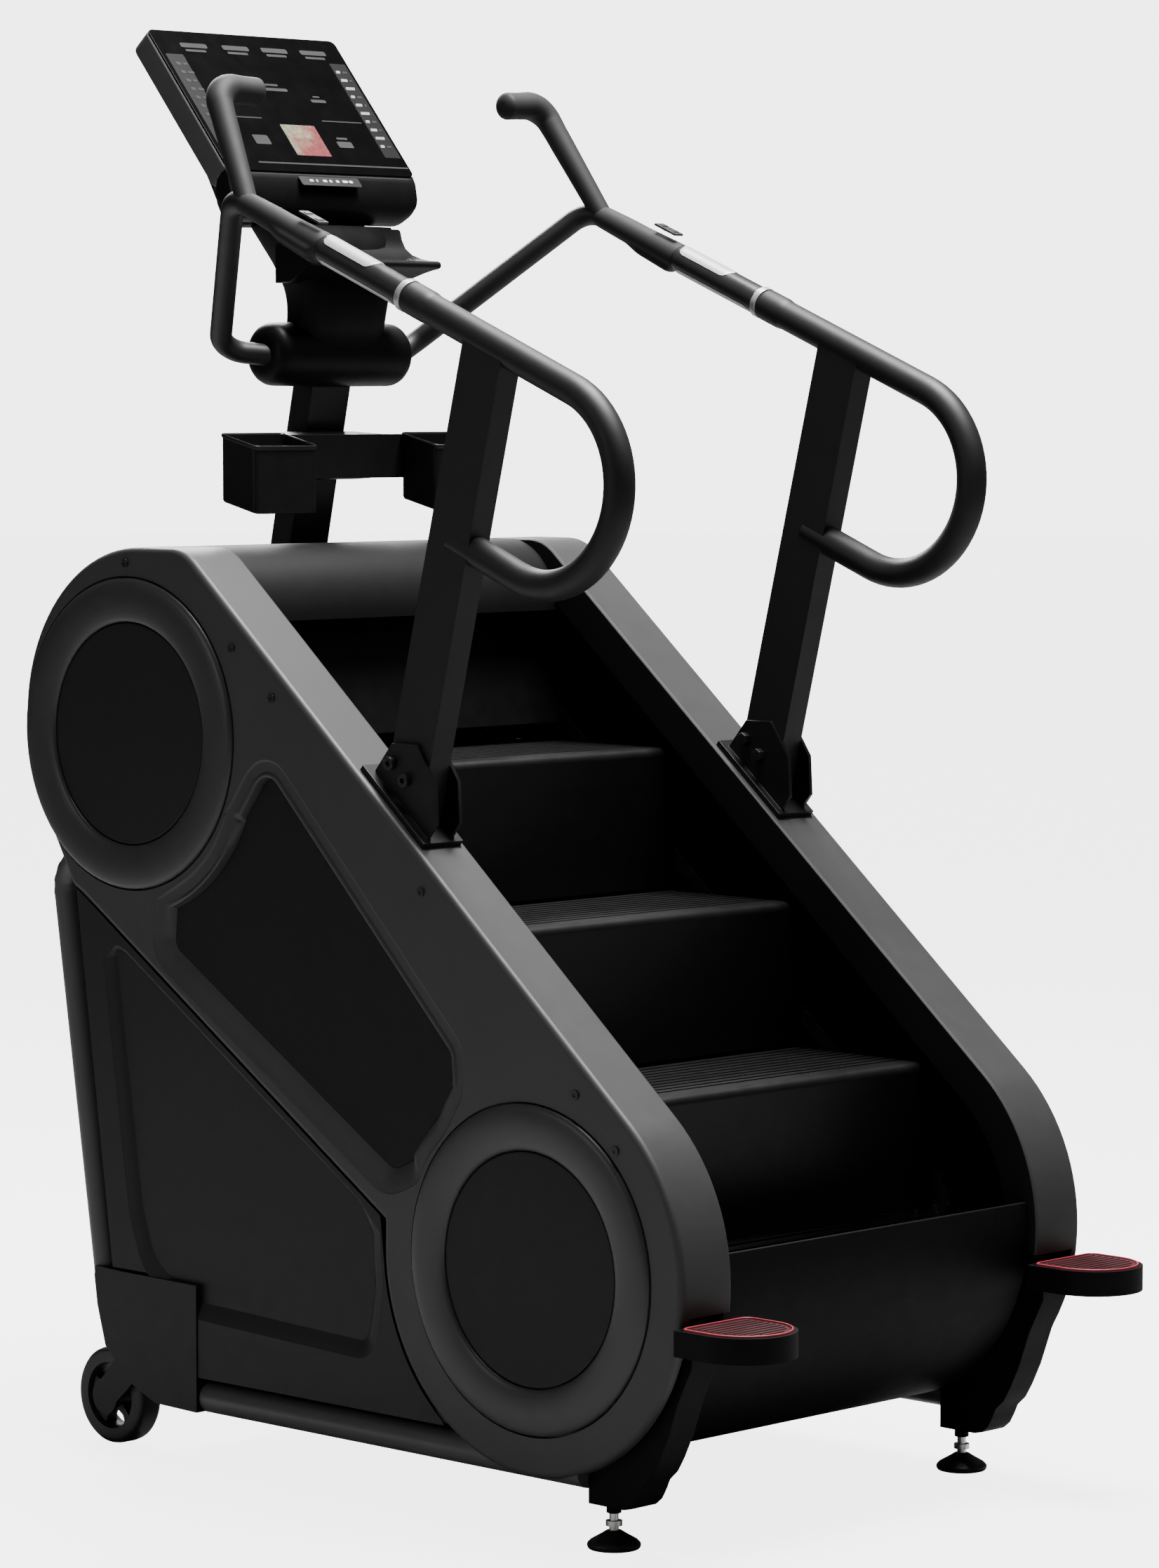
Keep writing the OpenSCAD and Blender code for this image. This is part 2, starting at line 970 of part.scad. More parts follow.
module rounded_panel(half, y0, y1, z0, z1, r) {
  for (sx = [-1, 1])
    for (z = [z0 + r, z1 - r])
      translate([sx * (half - r), y1, z])
        rotate([90, 0, 0])
          cylinder(r = r, h = y1 - y0);
  box(-half + r, y0, z0, half - r, y1, z1);
  box(-half, y0, z0 + r, half, y1, z1 - r);
}

module console_housing() {
  color([0.12, 0.12, 0.12])
  difference() {
    union() {
      console_frame()
        rounded_panel(console_half + 4, 0, 30, -6, console_len + 4, 12);
      // Rounded chin under the glass.
      along_x(-console_half - 1, console_half + 1)
        difference() {
          union() {
            translate([541, 1791])
              circle(r = 39);
            polygon([[514, 1819], [560, 1872], [600, 1840], [600, 1790], [578, 1758], [541, 1752]]);
          }
          polygon([[440, 1830], [517, 1830], [700, 2047], [440, 2047]]);
        }
      // Back shell over the electronics.
      hull() {
        console_frame()
          box(-130, 30, 30, 130, 62, 210);
        box(-112, 530, 1750, 112, 600, 1790);
      }
      box(-112, 500, 1748.2, 112, 566, 1765);
    }
    console_frame()
      box(-console_half + 8, -1, 4, console_half - 8, 22, console_len - 6);
  }
}

module console_glass() {
  color([0.02, 0.02, 0.02])
  console_frame() {
    rounded_panel(console_half + 2, -3, -0.1, -2, console_len + 2, 10);
    box(-160, -0.1, 30, 160, 8, 240);
  }
}

module console_tray() {
  color([0.08, 0.08, 0.08])
  difference() {
    along_x(-130, 130)
      difference() {
        polygon([
          [402, 1698], [402, 1690], [410, 1685], [439.8, 1678], [439.8, 1700], [475, 1716], [478, 1734],
          [470, 1734], [466, 1722], [440, 1712], [410, 1702]
        ]);
        polygon([[402, 1710], [412, 1699.5], [436, 1708], [436, 1725]]);
      }
    neck_shape(0.1);
  }
}

module bin(x0, x1) {
  difference() {
    along_x(x0, x1)
      polygon([[400, 1338], [475, 1356], [475, 1452], [400, 1434]]);
    along_x(x0 + 3, x1 - 3)
      polygon([[403, 1342], [472, 1359], [472, 1470], [403, 1470]]);
  }
}

module bin_right() {
  color([0.08, 0.08, 0.08])
  bin(118, 238);
}

module bin_left() {
  color([0.08, 0.08, 0.08])
  bin(-238, -118);
}

module bin_bracket() {
  color([0.06, 0.06, 0.06])
  difference() {
    union() {
      box(-220, 475.2, 1386, 220, 481, 1450);
      hull() {
        box(-116, 481, 1388, 116, 483, 1448);
        box(-46, 500, 1384, 46, 560, 1454);
      }
    }
    at_yz(mast_yz)
      rotate([mast_deg, 0, 0])
        box(-mast_half - 0.05, -mast_d / 2 - 0.05, -80, mast_half + 0.05, mast_d / 2 + 0.05, 262);
    box(-60, 545, 1300, 60, 600, 1500);
  }
}

// ---- Pedals ----

module pedal_plan(r) {
  translate([354, -644])
    circle(r = r);
  translate([354 - r, -644])
    square([2 * r, r - 10]);
}

module pedal() {
  color([0.05, 0.05, 0.05])
  difference() {
    union() {
      translate([0, 0, 284])
        linear_extrude(height = 34)
          pedal_plan(69);
      box(334, -590, 286, 376, -577.1, 318);
    }
    translate([0, 0, 316])
      linear_extrude(height = 4)
        pedal_plan(64);
    box(270, -577.1, 270, 440, -560, 330);
  }
}

module pedal_right() {
  pedal();
}

module pedal_left() {
  left_side()
    pedal();
}

module pedal_trims() {
  color([0.65, 0.1, 0.16])
  both_sides()
    difference() {
      translate([0, 0, 316])
        linear_extrude(height = 4)
          pedal_plan(63.8);
      for (y = [-690 : 12 : -606])
        box(312, y, 319, 396, y + 4, 322);
    }
}

// ---- Stair band ----

// One step, its nose above the chain pin that carries it; drawn upright with the nose at the origin.
module step_body() {
  n = 13;
  union() {
    along_x(-step_half, step_half)
      difference() {
        union() {
          translate([n, -n])
            circle(r = n);
          translate([n, -20])
            square([step_run - step_gap - n, 20]);
          translate([0, -step_rise + 5])
            square([n, step_rise - 5 - n]);
          translate([n, -26])
            square([13, 14]);
        }
        for (i = [0 : 9])
          translate([40 + i * 20, -1.6])
            square([8, 2]);
      }
    for (sx = [-1, 1])
      scale([sx, 1, 1])
        along_x(step_half, step_half + 5)
          polygon([
            [4, -14], [4, -step_rise + 8], [30, -step_rise + 8], [150, -60], [step_run - 12, -22],
            [step_run - 12, -6], [16, -6]
          ]);
  }
}

// Places a step on the band: s along the shaft line, on top or on the return side.
module step_on_band(s, turn) {
  translate([0, lower_y, lower_z])
    rotate([slope_deg, 0, 0])
      translate([0, s, 0])
        rotate([turn, 0, 0])
          translate([0, 0, nose_offset])
            rotate([-slope_deg, 0, 0])
              step_with_pins();
}

module step_with_pins() {
  step_body();
  // The pins stand on the chain line under the nose.
  pin = [(nose_offset - sprocket_r) * sa, -(nose_offset - sprocket_r) * ca];
  for (sx = [-1, 1])
    scale([sx, 1, 1]) {
      at_yz(pin)
        x_cylinder(6, step_half + 5, chain_x - 7.2);
    }
}

module steps_climbing() {
  color([0.05, 0.05, 0.05])
  for (k = [0 : 2])
    step_on_band(phase + k * step_pitch, 0);
}

module steps_return() {
  color([0.05, 0.05, 0.05])
  for (k = [4 : 6])
    step_on_band(2 * shaft_distance + arc_len - phase - k * step_pitch, 180);
}

module step_top() {
  color([0.05, 0.05, 0.05])
  step_on_band(shaft_distance, -up_turn);
}

module step_bottom() {
  color([0.05, 0.05, 0.05])
  step_on_band(0, low_turn);
}

module sprocket() {
  difference() {
    union() {
      x_cylinder(sprocket_r - 4.5, chain_x - 3, chain_x + 3);
      for (i = [0 : 26])
        rotate([i * 360 / 27, 0, 0])
          box(chain_x - 3, -3, sprocket_r - 8, chain_x + 3, 3, sprocket_r + 2.5);
      x_cylinder(34, chain_x - 11, chain_x + 5);
    }
    for (i = [0 : 4])
      rotate([i * 72, 0, 0])
        translate([0, 0, 54])
          x_cylinder(11, 300, 400);
  }
}

module lower_shaft() {
  color([0.55, 0.55, 0.57])
  at_yz(lower) {
    x_cylinder(shaft_r, -385, 385);
    both_sides()
      sprocket();
  }
}

module upper_shaft() {
  color([0.55, 0.55, 0.57])
  at_yz(upper) {
    x_cylinder(shaft_r, -385, 374);
    x_cylinder(16, 374, 390);
    both_sides()
      sprocket();
  }
}

module drive_pulley() {
  color([0.3, 0.3, 0.32])
  at_yz(upper)
    difference() {
      union() {
        x_cylinder(pulley_r - 3, 375, 386);
        x_cylinder(pulley_r, 375, 376.2);
        x_cylinder(pulley_r, 384.8, 386);
      }
      x_cylinder(16, 370, 395);
      for (i = [0 : 5])
        rotate([i * 60, 0, 0])
          translate([0, 0, 65])
            x_cylinder(24, 370, 395);
    }
}

module bearings() {
  color([0.4, 0.4, 0.42])
  both_sides()
    for (c = [lower, upper])
      at_yz(c)
        difference() {
          union() {
            x_cylinder(34, 353, plate_in);
            box(360, -42, -42, plate_in, 42, 42);
          }
          x_cylinder(shaft_r + 0.05, 340, 380);
        }
}

module chain_loop(x0, x1) {
  along_x(x0, x1)
    difference() {
      step_zone(sprocket_r + 7);
      step_zone(sprocket_r - 7);
    }
}

module chains() {
  color([0.35, 0.33, 0.3])
  both_sides() {
    chain_loop(chain_x - 6.8, chain_x - 3.6);
    chain_loop(chain_x + 3.6, chain_x + 6.8);
    for (s = [38.1 : 38.1 : 1000])
      for (p = [-sprocket_r, sprocket_r])
        at_yz(band(s, p))
          x_cylinder(4.5, chain_x - 3.6, chain_x + 3.6);
  }
}

module chain_guides() {
  color([0.25, 0.25, 0.27])
  both_sides()
    translate([0, lower_y, lower_z])
      rotate([slope_deg, 0, 0]) {
        box(chain_x - 7, 120, 66, chain_x + 7, 920, sprocket_r - 7.3);
        box(chain_x - 7, 120, -sprocket_r + 7.3, chain_x + 7, 920, -66);
        for (s = [160, 360, 560, 760, 860])
          for (z = [-74, 66])
            box(chain_x + 7, s, z, plate_in - 0.05, s + 26, z + 8);
      }
}

module brake_stator() {
  color([0.3, 0.3, 0.33]) {
    at_yz(brake_yz)
      difference() {
        x_cylinder(130, 236, 310);
        x_cylinder(118, 240, 306);
        x_cylinder(14, 300, 320);
      }
    // Feet of the brake housing on the rear cross tube.
    box(244, 396, 156, 302, 440, 212);
    box(236, 388, 150.05, 310, 520, 158);
    difference() {
      at_yz(brake_yz)
        x_cylinder(24, 310, 322);
      at_yz(brake_yz)
        x_cylinder(10.05, 300, 330);
    }
  }
}

module brake_rotor() {
  color([0.45, 0.45, 0.47])
  at_yz(brake_yz) {
    x_cylinder(112, 260, 286);
    x_cylinder(10, 250, 387);
    difference() {
      x_cylinder(small_pulley_r - 3, 375, 386);
      x_cylinder(9, 386, 400);
    }
    x_cylinder(small_pulley_r, 375, 376.2);
    x_cylinder(small_pulley_r, 384.8, 386);
  }
}

module belt_outline(t) {
  hull() {
    translate(upper)
      circle(r = pulley_r - 2.9 + t);
    translate(brake_yz)
      circle(r = small_pulley_r - 2.9 + t);
  }
}

module drive_belt() {
  color([0.08, 0.08, 0.08])
  along_x(376.5, 384.5)
    difference() {
      belt_outline(3);
      belt_outline(0);
    }
}

module power_inlet() {
  color([0.1, 0.1, 0.1])
  difference() {
    union() {
      box(-150, 541, 118, -98, 552, 156);
      box(-146, 520.2, 122, -102, 541, 152);
    }
    box(-141, 530, 127, -107, 560, 147);
  }
}

// ---- Wheels and feet ----

module wheel() {
  color([0.06, 0.06, 0.06])
  at_yz([wheel_y, wheel_r])
    difference() {
      union() {
        difference() {
          x_cylinder(wheel_r, wheel_x0 + 2, wheel_x1 - 2);
          x_cylinder(wheel_r - 14, 300, 400);
        }
        x_cylinder(wheel_r - 3, wheel_x0, wheel_x1);
      }
      difference() {
        union() {
          for (i = [0 : 4])
            rotate([i * 72, 0, 0])
              translate([0, 0, 35])
                x_cylinder(15, 300, 400);
        }
      }
      x_cylinder(8.05, 300, 400);
    }
}

module wheel_right() {
  wheel();
}

module wheel_left() {
  left_side()
    wheel();
}

module foot() {
  translate([foot_x, foot_y, 0]) {
    color([0.08, 0.08, 0.08])
    rotate_extrude()
      polygon([[0, 0], [foot_r - 2, 0], [foot_r, 3], [foot_r, 7], [foot_r - 4, 11], [16, 20], [10, 24], [0, 24]]);
    color([0.7, 0.7, 0.7])
    translate([0, 0, 24])
      cylinder(r = 6, h = 106);
  }
}

module foot_right() {
  foot();
}

module foot_left() {
  left_side()
    foot();
}

base_frame();
side_plates();
front_legs();
side_cover_left();
side_cover_right();
inset_panels();
base_panel_left();
base_panel_right();
rear_corners();
disc_rings();
disc_caps();
bridge_cover();
front_guard();
rear_cover();
belly_pan();
rear_tubes();
cover_screws();
upright_left();
upright_right();
upright_brackets();
upright_bolts();
handrail_left();
handrail_right();
pulse_grips();
grip_collars();
rail_sleeve_left();
rail_sleeve_right();
stub_handle_left();
stub_handle_right();
mast();
neck_hub();
console_housing();
console_glass();
console_tray();
bin_left();
bin_right();
bin_bracket();
pedal_left();
pedal_right();
pedal_trims();
chains();
chain_guides();
bearings();
brake_stator();
drive_belt();
power_inlet();
steps_climbing();
steps_return();
step_top();
step_bottom();
upper_shaft();
lower_shaft();
drive_pulley();
brake_rotor();
wheel_left();
wheel_right();
foot_left();
foot_right();
thumb_switch_left();
thumb_switch_right();
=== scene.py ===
import bpy, bmesh, math
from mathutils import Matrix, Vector
from mathutils.geometry import delaunay_2d_cdt


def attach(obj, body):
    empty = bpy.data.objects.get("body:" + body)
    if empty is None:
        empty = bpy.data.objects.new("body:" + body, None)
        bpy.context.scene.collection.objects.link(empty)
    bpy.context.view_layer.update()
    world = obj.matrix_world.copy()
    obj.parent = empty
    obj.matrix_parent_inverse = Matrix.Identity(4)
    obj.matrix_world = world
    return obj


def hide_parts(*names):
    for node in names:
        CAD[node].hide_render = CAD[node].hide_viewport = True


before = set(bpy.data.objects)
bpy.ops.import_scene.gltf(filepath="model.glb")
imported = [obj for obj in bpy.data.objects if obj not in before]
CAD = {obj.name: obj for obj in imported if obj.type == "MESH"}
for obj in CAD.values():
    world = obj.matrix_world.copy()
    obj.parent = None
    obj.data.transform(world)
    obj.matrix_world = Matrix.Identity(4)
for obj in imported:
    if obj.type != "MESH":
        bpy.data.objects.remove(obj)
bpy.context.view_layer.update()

SIDES = ((-1, "left"), (1, "right"))


def cosd(a):
    return math.cos(math.radians(a))


def sind(a):
    return math.sin(math.radians(a))


# ---------- materials ----------
def nodes_of(name):
    m = bpy.data.materials.new(name)
    m.use_nodes = True
    nt = m.node_tree
    nt.nodes.clear()
    out = nt.nodes.new("ShaderNodeOutputMaterial")
    b = nt.nodes.new("ShaderNodeBsdfPrincipled")
    nt.links.new(b.outputs["BSDF"], out.inputs["Surface"])
    return m, nt, b


def noise(nt, coord, scale, detail=4.0, rough=0.55):
    n = nt.nodes.new("ShaderNodeTexNoise")
    n.inputs["Scale"].default_value = scale
    n.inputs["Detail"].default_value = detail
    n.inputs["Roughness"].default_value = rough
    nt.links.new(coord, n.inputs["Vector"])
    return n.outputs["Fac"]


def ramp(nt, fac, lo, hi, a, b):
    r = nt.nodes.new("ShaderNodeValToRGB")
    r.color_ramp.elements[0].position = lo
    r.color_ramp.elements[1].position = hi
    r.color_ramp.elements[0].color = (*a, 1)
    r.color_ramp.elements[1].color = (*b, 1)
    nt.links.new(fac, r.inputs["Fac"])
    return r.outputs["Color"]


def span(nt, fac, lo, hi):
    r = nt.nodes.new("ShaderNodeMapRange")
    r.inputs["To Min"].default_value = lo
    r.inputs["To Max"].default_value = hi
    nt.links.new(fac, r.inputs["Value"])
    return r.outputs["Result"]


def scaled(c, k):
    return tuple(min(1.0, x * k) for x in c)


def moulded(name, color, rough=0.5, grain=900.0, bump=0.12, mottle=0.12, spec=0.5, metallic=0.0,
            coat=0.0, stretch=None, edge_pale=0.0):
    """Moulded or painted surface: fine grain bump, soft mottling, uneven gloss and, if asked, paler convex
    edges.
    """
    m, nt, b = nodes_of(name)
    tc = nt.nodes.new("ShaderNodeTexCoord")
    coord = tc.outputs["Object"]
    if stretch:
        mp = nt.nodes.new("ShaderNodeMapping")
        mp.inputs["Scale"].default_value = stretch
        nt.links.new(coord, mp.inputs["Vector"])
        coord = mp.outputs["Vector"]
    big = noise(nt, coord, 5.0, 3.0)
    col = ramp(nt, big, 0.35, 0.7, scaled(color, 1 - mottle), scaled(color, 1 + mottle))
    # pales the sharpest convex edges, found by pointiness
    if edge_pale:
        geo = nt.nodes.new("ShaderNodeNewGeometry")
        point = nt.nodes.new("ShaderNodeMapRange")
        point.inputs["From Min"].default_value = 0.53
        point.inputs["From Max"].default_value = 0.62
        nt.links.new(geo.outputs["Pointiness"], point.inputs["Value"])
        mix = nt.nodes.new("ShaderNodeMix")
        mix.data_type = "RGBA"
        k = nt.nodes.new("ShaderNodeMath")
        k.operation = "MULTIPLY"
        k.inputs[1].default_value = edge_pale
        nt.links.new(point.outputs["Result"], k.inputs[0])
        nt.links.new(k.outputs[0], mix.inputs["Factor"])
        nt.links.new(col, mix.inputs["A"])
        mix.inputs["B"].default_value = (*scaled(color, 3.2), 1)
        col = mix.outputs["Result"]
    nt.links.new(col, b.inputs["Base Color"])
    fine = noise(nt, coord, grain, 2.0)
    mid = noise(nt, coord, 40.0, 5.0)
    nt.links.new(span(nt, mid, rough - 0.07, rough + 0.07), b.inputs["Roughness"])
    bp = nt.nodes.new("ShaderNodeBump")
    bp.inputs["Strength"].default_value = bump
    bp.inputs["Distance"].default_value = 0.0002
    nt.links.new(fine, bp.inputs["Height"])
    nt.links.new(bp.outputs["Normal"], b.inputs["Normal"])
    b.inputs["Metallic"].default_value = metallic
    b.inputs["Specular IOR Level"].default_value = spec
    b.inputs["Coat Weight"].default_value = coat
    return m


MAT = {
    "cover": moulded("cover_grey", (0.0300, 0.0300, 0.0306), 0.5, 1100, 0.10, 0.06, spec=0.35, edge_pale=0.1),
    "panel": moulded("panel_black", (0.0045, 0.0045, 0.0046), 0.62, 900, 0.10, 0.08, spec=0.2),
    "base": moulded("base_black", (0.0050, 0.0050, 0.0051), 0.5, 900, 0.10, 0.08, spec=0.3),
    "ring": moulded("ring_grey", (0.0260, 0.0260, 0.0265), 0.4, 1200, 0.08, 0.06, spec=0.45),
    "cap": moulded("cap_black", (0.0055, 0.0055, 0.0056), 0.55, 1000, 0.08, 0.08, spec=0.25),
    "guard": moulded("guard_black", (0.0016, 0.0016, 0.0017), 0.6, 800, 0.10, 0.1, spec=0.09),
    "step": moulded("step_black", (0.0009, 0.0009, 0.0010), 0.42, 1300, 0.10, 0.1, spec=0.3),
    "frame": moulded("frame_paint", (0.0035, 0.0035, 0.0036), 0.42, 700, 0.10, 0.1, spec=0.35),
    "rail": moulded("rail_paint", (0.0068, 0.0068, 0.0070), 0.52, 900, 0.04, 0.06, spec=0.32),
    "gloss": moulded("gloss_black", (0.0036, 0.0036, 0.0037), 0.36, 900, 0.02, 0.06, spec=0.3, coat=0.08),
    "rubber": moulded("grip_rubber", (0.0135, 0.0135, 0.0138), 0.65, 1400, 0.12, 0.08, spec=0.25),
    "console": moulded("console_black", (0.0018, 0.0018, 0.0019), 0.45, 1200, 0.08, 0.06, spec=0.14),
    "tyre": moulded("wheel_black", (0.008, 0.008, 0.0083), 0.5, 900, 0.2, 0.15),
    "red": moulded("pad_red", (0.30, 0.018, 0.035), 0.5, 1000, 0.25, 0.15),
    "grip": moulded("grip_metal", (0.40, 0.40, 0.41), 0.4, 260, 0.04, 0.05, metallic=0.35,
                    stretch=(14, 1, 1)),
    "collar": moulded("collar_silver", (0.45, 0.45, 0.46), 0.35, 600, 0.05, 0.06, metallic=0.6),
    "zinc": moulded("zinc_steel", (0.62, 0.62, 0.6), 0.28, 500, 0.1, 0.08, metallic=1.0),
    "steel": moulded("turned_steel", (0.38, 0.38, 0.39), 0.34, 400, 0.1, 0.1, metallic=0.95),
    "chain": moulded("chain_steel", (0.12, 0.11, 0.10), 0.4, 300, 0.15, 0.3, metallic=0.9),
    "screw": moulded("screw_black", (0.006, 0.006, 0.006), 0.4, 700, 0.1, 0.1),
    "glass": moulded("console_glass", (0.0011, 0.0011, 0.0012), 0.22, 60, 0.01, 0.1, spec=0.045),
    "switch": moulded("switch_grey", (0.022, 0.022, 0.0225), 0.4, 900, 0.12, 0.1),
    "bridge": moulded("bridge_black", (0.0052, 0.0052, 0.0053), 0.55, 1100, 0.08, 0.06, spec=0.12),
    "tube": moulded("tube_grey", (0.055, 0.055, 0.056), 0.4, 900, 0.05, 0.06, spec=0.5),
    # darker copy of the cover grey for the cover's inner wall: painted shade for the shadow between the
    # covers
    "inner": moulded("inner_wall_painted_shade", (0.0045, 0.0045, 0.0046), 0.55, 900, 0.08, 0.08, spec=0.2),
    "belt": moulded("belt_rubber", (0.010, 0.010, 0.010), 0.62, 600, 0.3, 0.2),
    "gripdark": moulded("grip_body", (0.035, 0.035, 0.036), 0.34, 500, 0.08, 0.08, metallic=0.6),
    "mark": moulded("mark_white", (0.42, 0.42, 0.42), 0.5, 300, 0.02, 0.15),
    "housing": moulded("housing_grey", (0.055, 0.055, 0.056), 0.55, 1200, 0.08, 0.06, spec=0.35),
    "badge": moulded("badge_black", (0.0030, 0.0030, 0.0031), 0.4, 900, 0.04, 0.06, spec=0.3),
    "strip": moulded("strip_dark", (0.0020, 0.0020, 0.0021), 0.5, 900, 0.04, 0.1, spec=0.1),
    "marklit": moulded("mark_light", (0.20, 0.20, 0.20), 0.5, 300, 0.02, 0.15, spec=0.1),
    "markdim": moulded("mark_grey", (0.022, 0.022, 0.022), 0.5, 300, 0.02, 0.3, spec=0.1),
    "barline": moulded("mark_dark", (0.022, 0.022, 0.022), 0.4, 300, 0.02, 0.1, spec=0.1),
    "reddark": moulded("pad_dark_red", (0.030, 0.0032, 0.0052), 0.55, 900, 0.2, 0.12, spec=0.2),
}


def video_window():
    """Lit picture area of the display: soft green and red patches from noise, no picture content."""
    m, nt, b = nodes_of("screen_window")
    tc = nt.nodes.new("ShaderNodeTexCoord")
    patch = noise(nt, tc.outputs["Object"], 42.0, 3.0, 0.7)
    fine = noise(nt, tc.outputs["Object"], 160.0, 4.0, 0.7)
    sep = nt.nodes.new("ShaderNodeSeparateXYZ")
    nt.links.new(tc.outputs["Object"], sep.inputs["Vector"])
    across = nt.nodes.new("ShaderNodeMath")
    across.operation = "MULTIPLY_ADD"
    across.inputs[1].default_value = 7.0
    across.inputs[2].default_value = 0.12
    nt.links.new(sep.outputs["X"], across.inputs[0])
    up = nt.nodes.new("ShaderNodeMath")
    up.operation = "MULTIPLY_ADD"
    up.inputs[1].default_value = -9.0
    up.inputs[2].default_value = 9.0 * 1.876
    nt.links.new(sep.outputs["Z"], up.inputs[0])
    add = nt.nodes.new("ShaderNodeMath")
    nt.links.new(across.outputs[0], add.inputs[0])
    nt.links.new(up.outputs[0], add.inputs[1])
    mix = nt.nodes.new("ShaderNodeMath")
    nt.links.new(add.outputs[0], mix.inputs[0])
    nt.links.new(patch, mix.inputs[1])
    base = ramp(nt, mix.outputs[0], 0.42, 0.72, (0.13, 0.14, 0.09), (0.13, 0.022, 0.025))
    light = ramp(nt, fine, 0.3, 0.75, (0.35, 0.35, 0.35), (1.5, 1.3, 1.2))
    mul = nt.nodes.new("ShaderNodeMix")
    mul.data_type = "RGBA"
    mul.blend_type = "MULTIPLY"
    mul.inputs["Factor"].default_value = 1.0
    nt.links.new(base, mul.inputs["A"])
    nt.links.new(light, mul.inputs["B"])
    nt.links.new(mul.outputs["Result"], b.inputs["Base Color"])
    nt.links.new(mul.outputs["Result"], b.inputs["Emission Color"])
    b.inputs["Emission Strength"].default_value = 0.25
    b.inputs["Roughness"].default_value = 0.3
    return m


MAT["video"] = video_window()

PAINT = {
    "tube": "base_frame rear_tubes",
    "frame": "side_plates belly_pan upright_brackets mast bin_bracket brake_stator",
    "guard": "front_legs front_guard pedal_left pedal_right",
    "cover": "side_cover_left side_cover_right",
    "panel": "inset_panels chain_guides",
    "base": "base_panel_left base_panel_right rear_corners rear_cover",
    "ring": "disc_rings",
    "cap": "disc_caps",
    "bridge": "bridge_cover",
    "screw": "cover_screws upright_bolts",
    "rail": "upright_left upright_right handrail_left handrail_right",
    "grip": "pulse_grips",
    "collar": "grip_collars",
    "rubber": "rail_sleeve_left rail_sleeve_right stub_handle_left stub_handle_right",
    "console": "neck_hub console_housing console_tray bin_left bin_right power_inlet",
    "glass": "console_glass",
    "red": "pedal_trims",
    "chain": "chains",
    "steel": "bearings upper_shaft lower_shaft drive_pulley brake_rotor",
    "belt": "drive_belt",
    "step": "steps_climbing steps_return step_top step_bottom",
    "tyre": "wheel_left wheel_right foot_left foot_right",
    "switch": "thumb_switch_left thumb_switch_right",
}
for mat, names in PAINT.items():
    for name in names.split():
        slots = CAD[name].data.materials
        slots.clear()
        slots.append(MAT[mat])

# ---------- mesh tools (millimetres in, metres out) ----------
def piece(name, verts, faces, mat, body="frame", hides=(), sharp=40):
    """Closed mesh piece in millimetres that rides on a body and may stand in for CAD nodes."""
    me = bpy.data.meshes.new(name)
    me.from_pydata([(v[0] * 0.001, v[1] * 0.001, v[2] * 0.001) for v in verts], [], faces)
    me.update()
    bm = bmesh.new()
    bm.from_mesh(me)
    bmesh.ops.recalc_face_normals(bm, faces=bm.faces)
    bm.to_mesh(me)
    bm.free()
    me.polygons.foreach_set("use_smooth", [True] * len(me.polygons))
    me.set_sharp_from_angle(angle=math.radians(sharp))
    o = bpy.data.objects.new(name, me)
    bpy.context.scene.collection.objects.link(o)
    me.materials.append(MAT[mat])
    w = o.modifiers.new("flat_faces", "WEIGHTED_NORMAL")
    w.keep_sharp = True
    w.weight = 100
    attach(o, body)
    if hides:
        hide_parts(*hides)
    return o


def flip(verts):
    return [(-v[0], v[1], v[2]) for v in verts]


def fillet(points, radii, step):
    """Polyline in space with round bends at its inner points; long straight parts are split."""
    pts = [Vector(p) for p in points]
    out = [pts[0]]
    for a, b, c, r in zip(pts, pts[1:], pts[2:], radii):
        u, v = (b - a).normalized(), (c - b).normalized()
        turn = math.acos(u.dot(v))
        cut = r * math.tan(turn / 2)
        w = (v - u * v.dot(u)).normalized()
        m = b - u * cut + w * r
        n = max(4, int(r * turn / step))
        for k in range(n + 1):
            t = turn * k / n
            out.append(m - w * (r * math.cos(t)) + u * (r * math.sin(t)))
    out.append(pts[-1])
    res = [out[0]]
    for p in out[1:]:
        d = (p - res[-1]).length
        n = max(1, int(d / 18.0))
        q = res[-1]
        for k in range(1, n + 1):
            res.append(q + (p - q) * (k / n))
    return [tuple(p) for p in res]


def sweep(points, radius, n, section=None, up=(1, 0, 0), round_ends=False):
    """Tube along points. radius is a number or radius(length so far, total length);
    section(angle, length so far) scales it, with angle 0 on the side that tangent x up points away from."""
    pts = [Vector(p) for p in points]
    acc = [0.0]
    for a, b in zip(pts, pts[1:]):
        acc.append(acc[-1] + (b - a).length)
    total = acc[-1]
    rings = []
    side = Vector(up)
    last = len(pts) - 1
    for i, p in enumerate(pts):
        t = (pts[min(i + 1, last)] - pts[max(i - 1, 0)]).normalized()
        side = (side - t * side.dot(t)).normalized()
        top = t.cross(side) * -1
        r = radius(acc[i], total) if callable(radius) else radius
        rings.append((p, t, side, top, r, acc[i]))

    def ring(p, side, top, r, s):
        loop = []
        for k in range(n):
            a = 2 * math.pi * k / n
            q = r * (section(a, s) if section else 1.0)
            loop.append(tuple(p + top * (q * math.cos(a)) + side * (q * math.sin(a))))
        return loop

    def dome(order, way):
        """Rings of a rounded end: way is 0 for the first end and -1 for the last."""
        p, t, side, top, r, s = rings[way]
        bulge = t * (r * 0.55 * (1 if way else -1))
        turns = [math.pi / 2 * k / 6 for k in order]
        return [ring(p + bulge * math.sin(a), side, top, r * math.cos(a), s) for a in turns]

    rows = [ring(p, side, top, r, s) for p, t, side, top, r, s in rings]
    if round_ends:
        rows = dome(range(5, 0, -1), 0) + rows + dome(range(1, 6), -1)
    return prism_rows(rows)


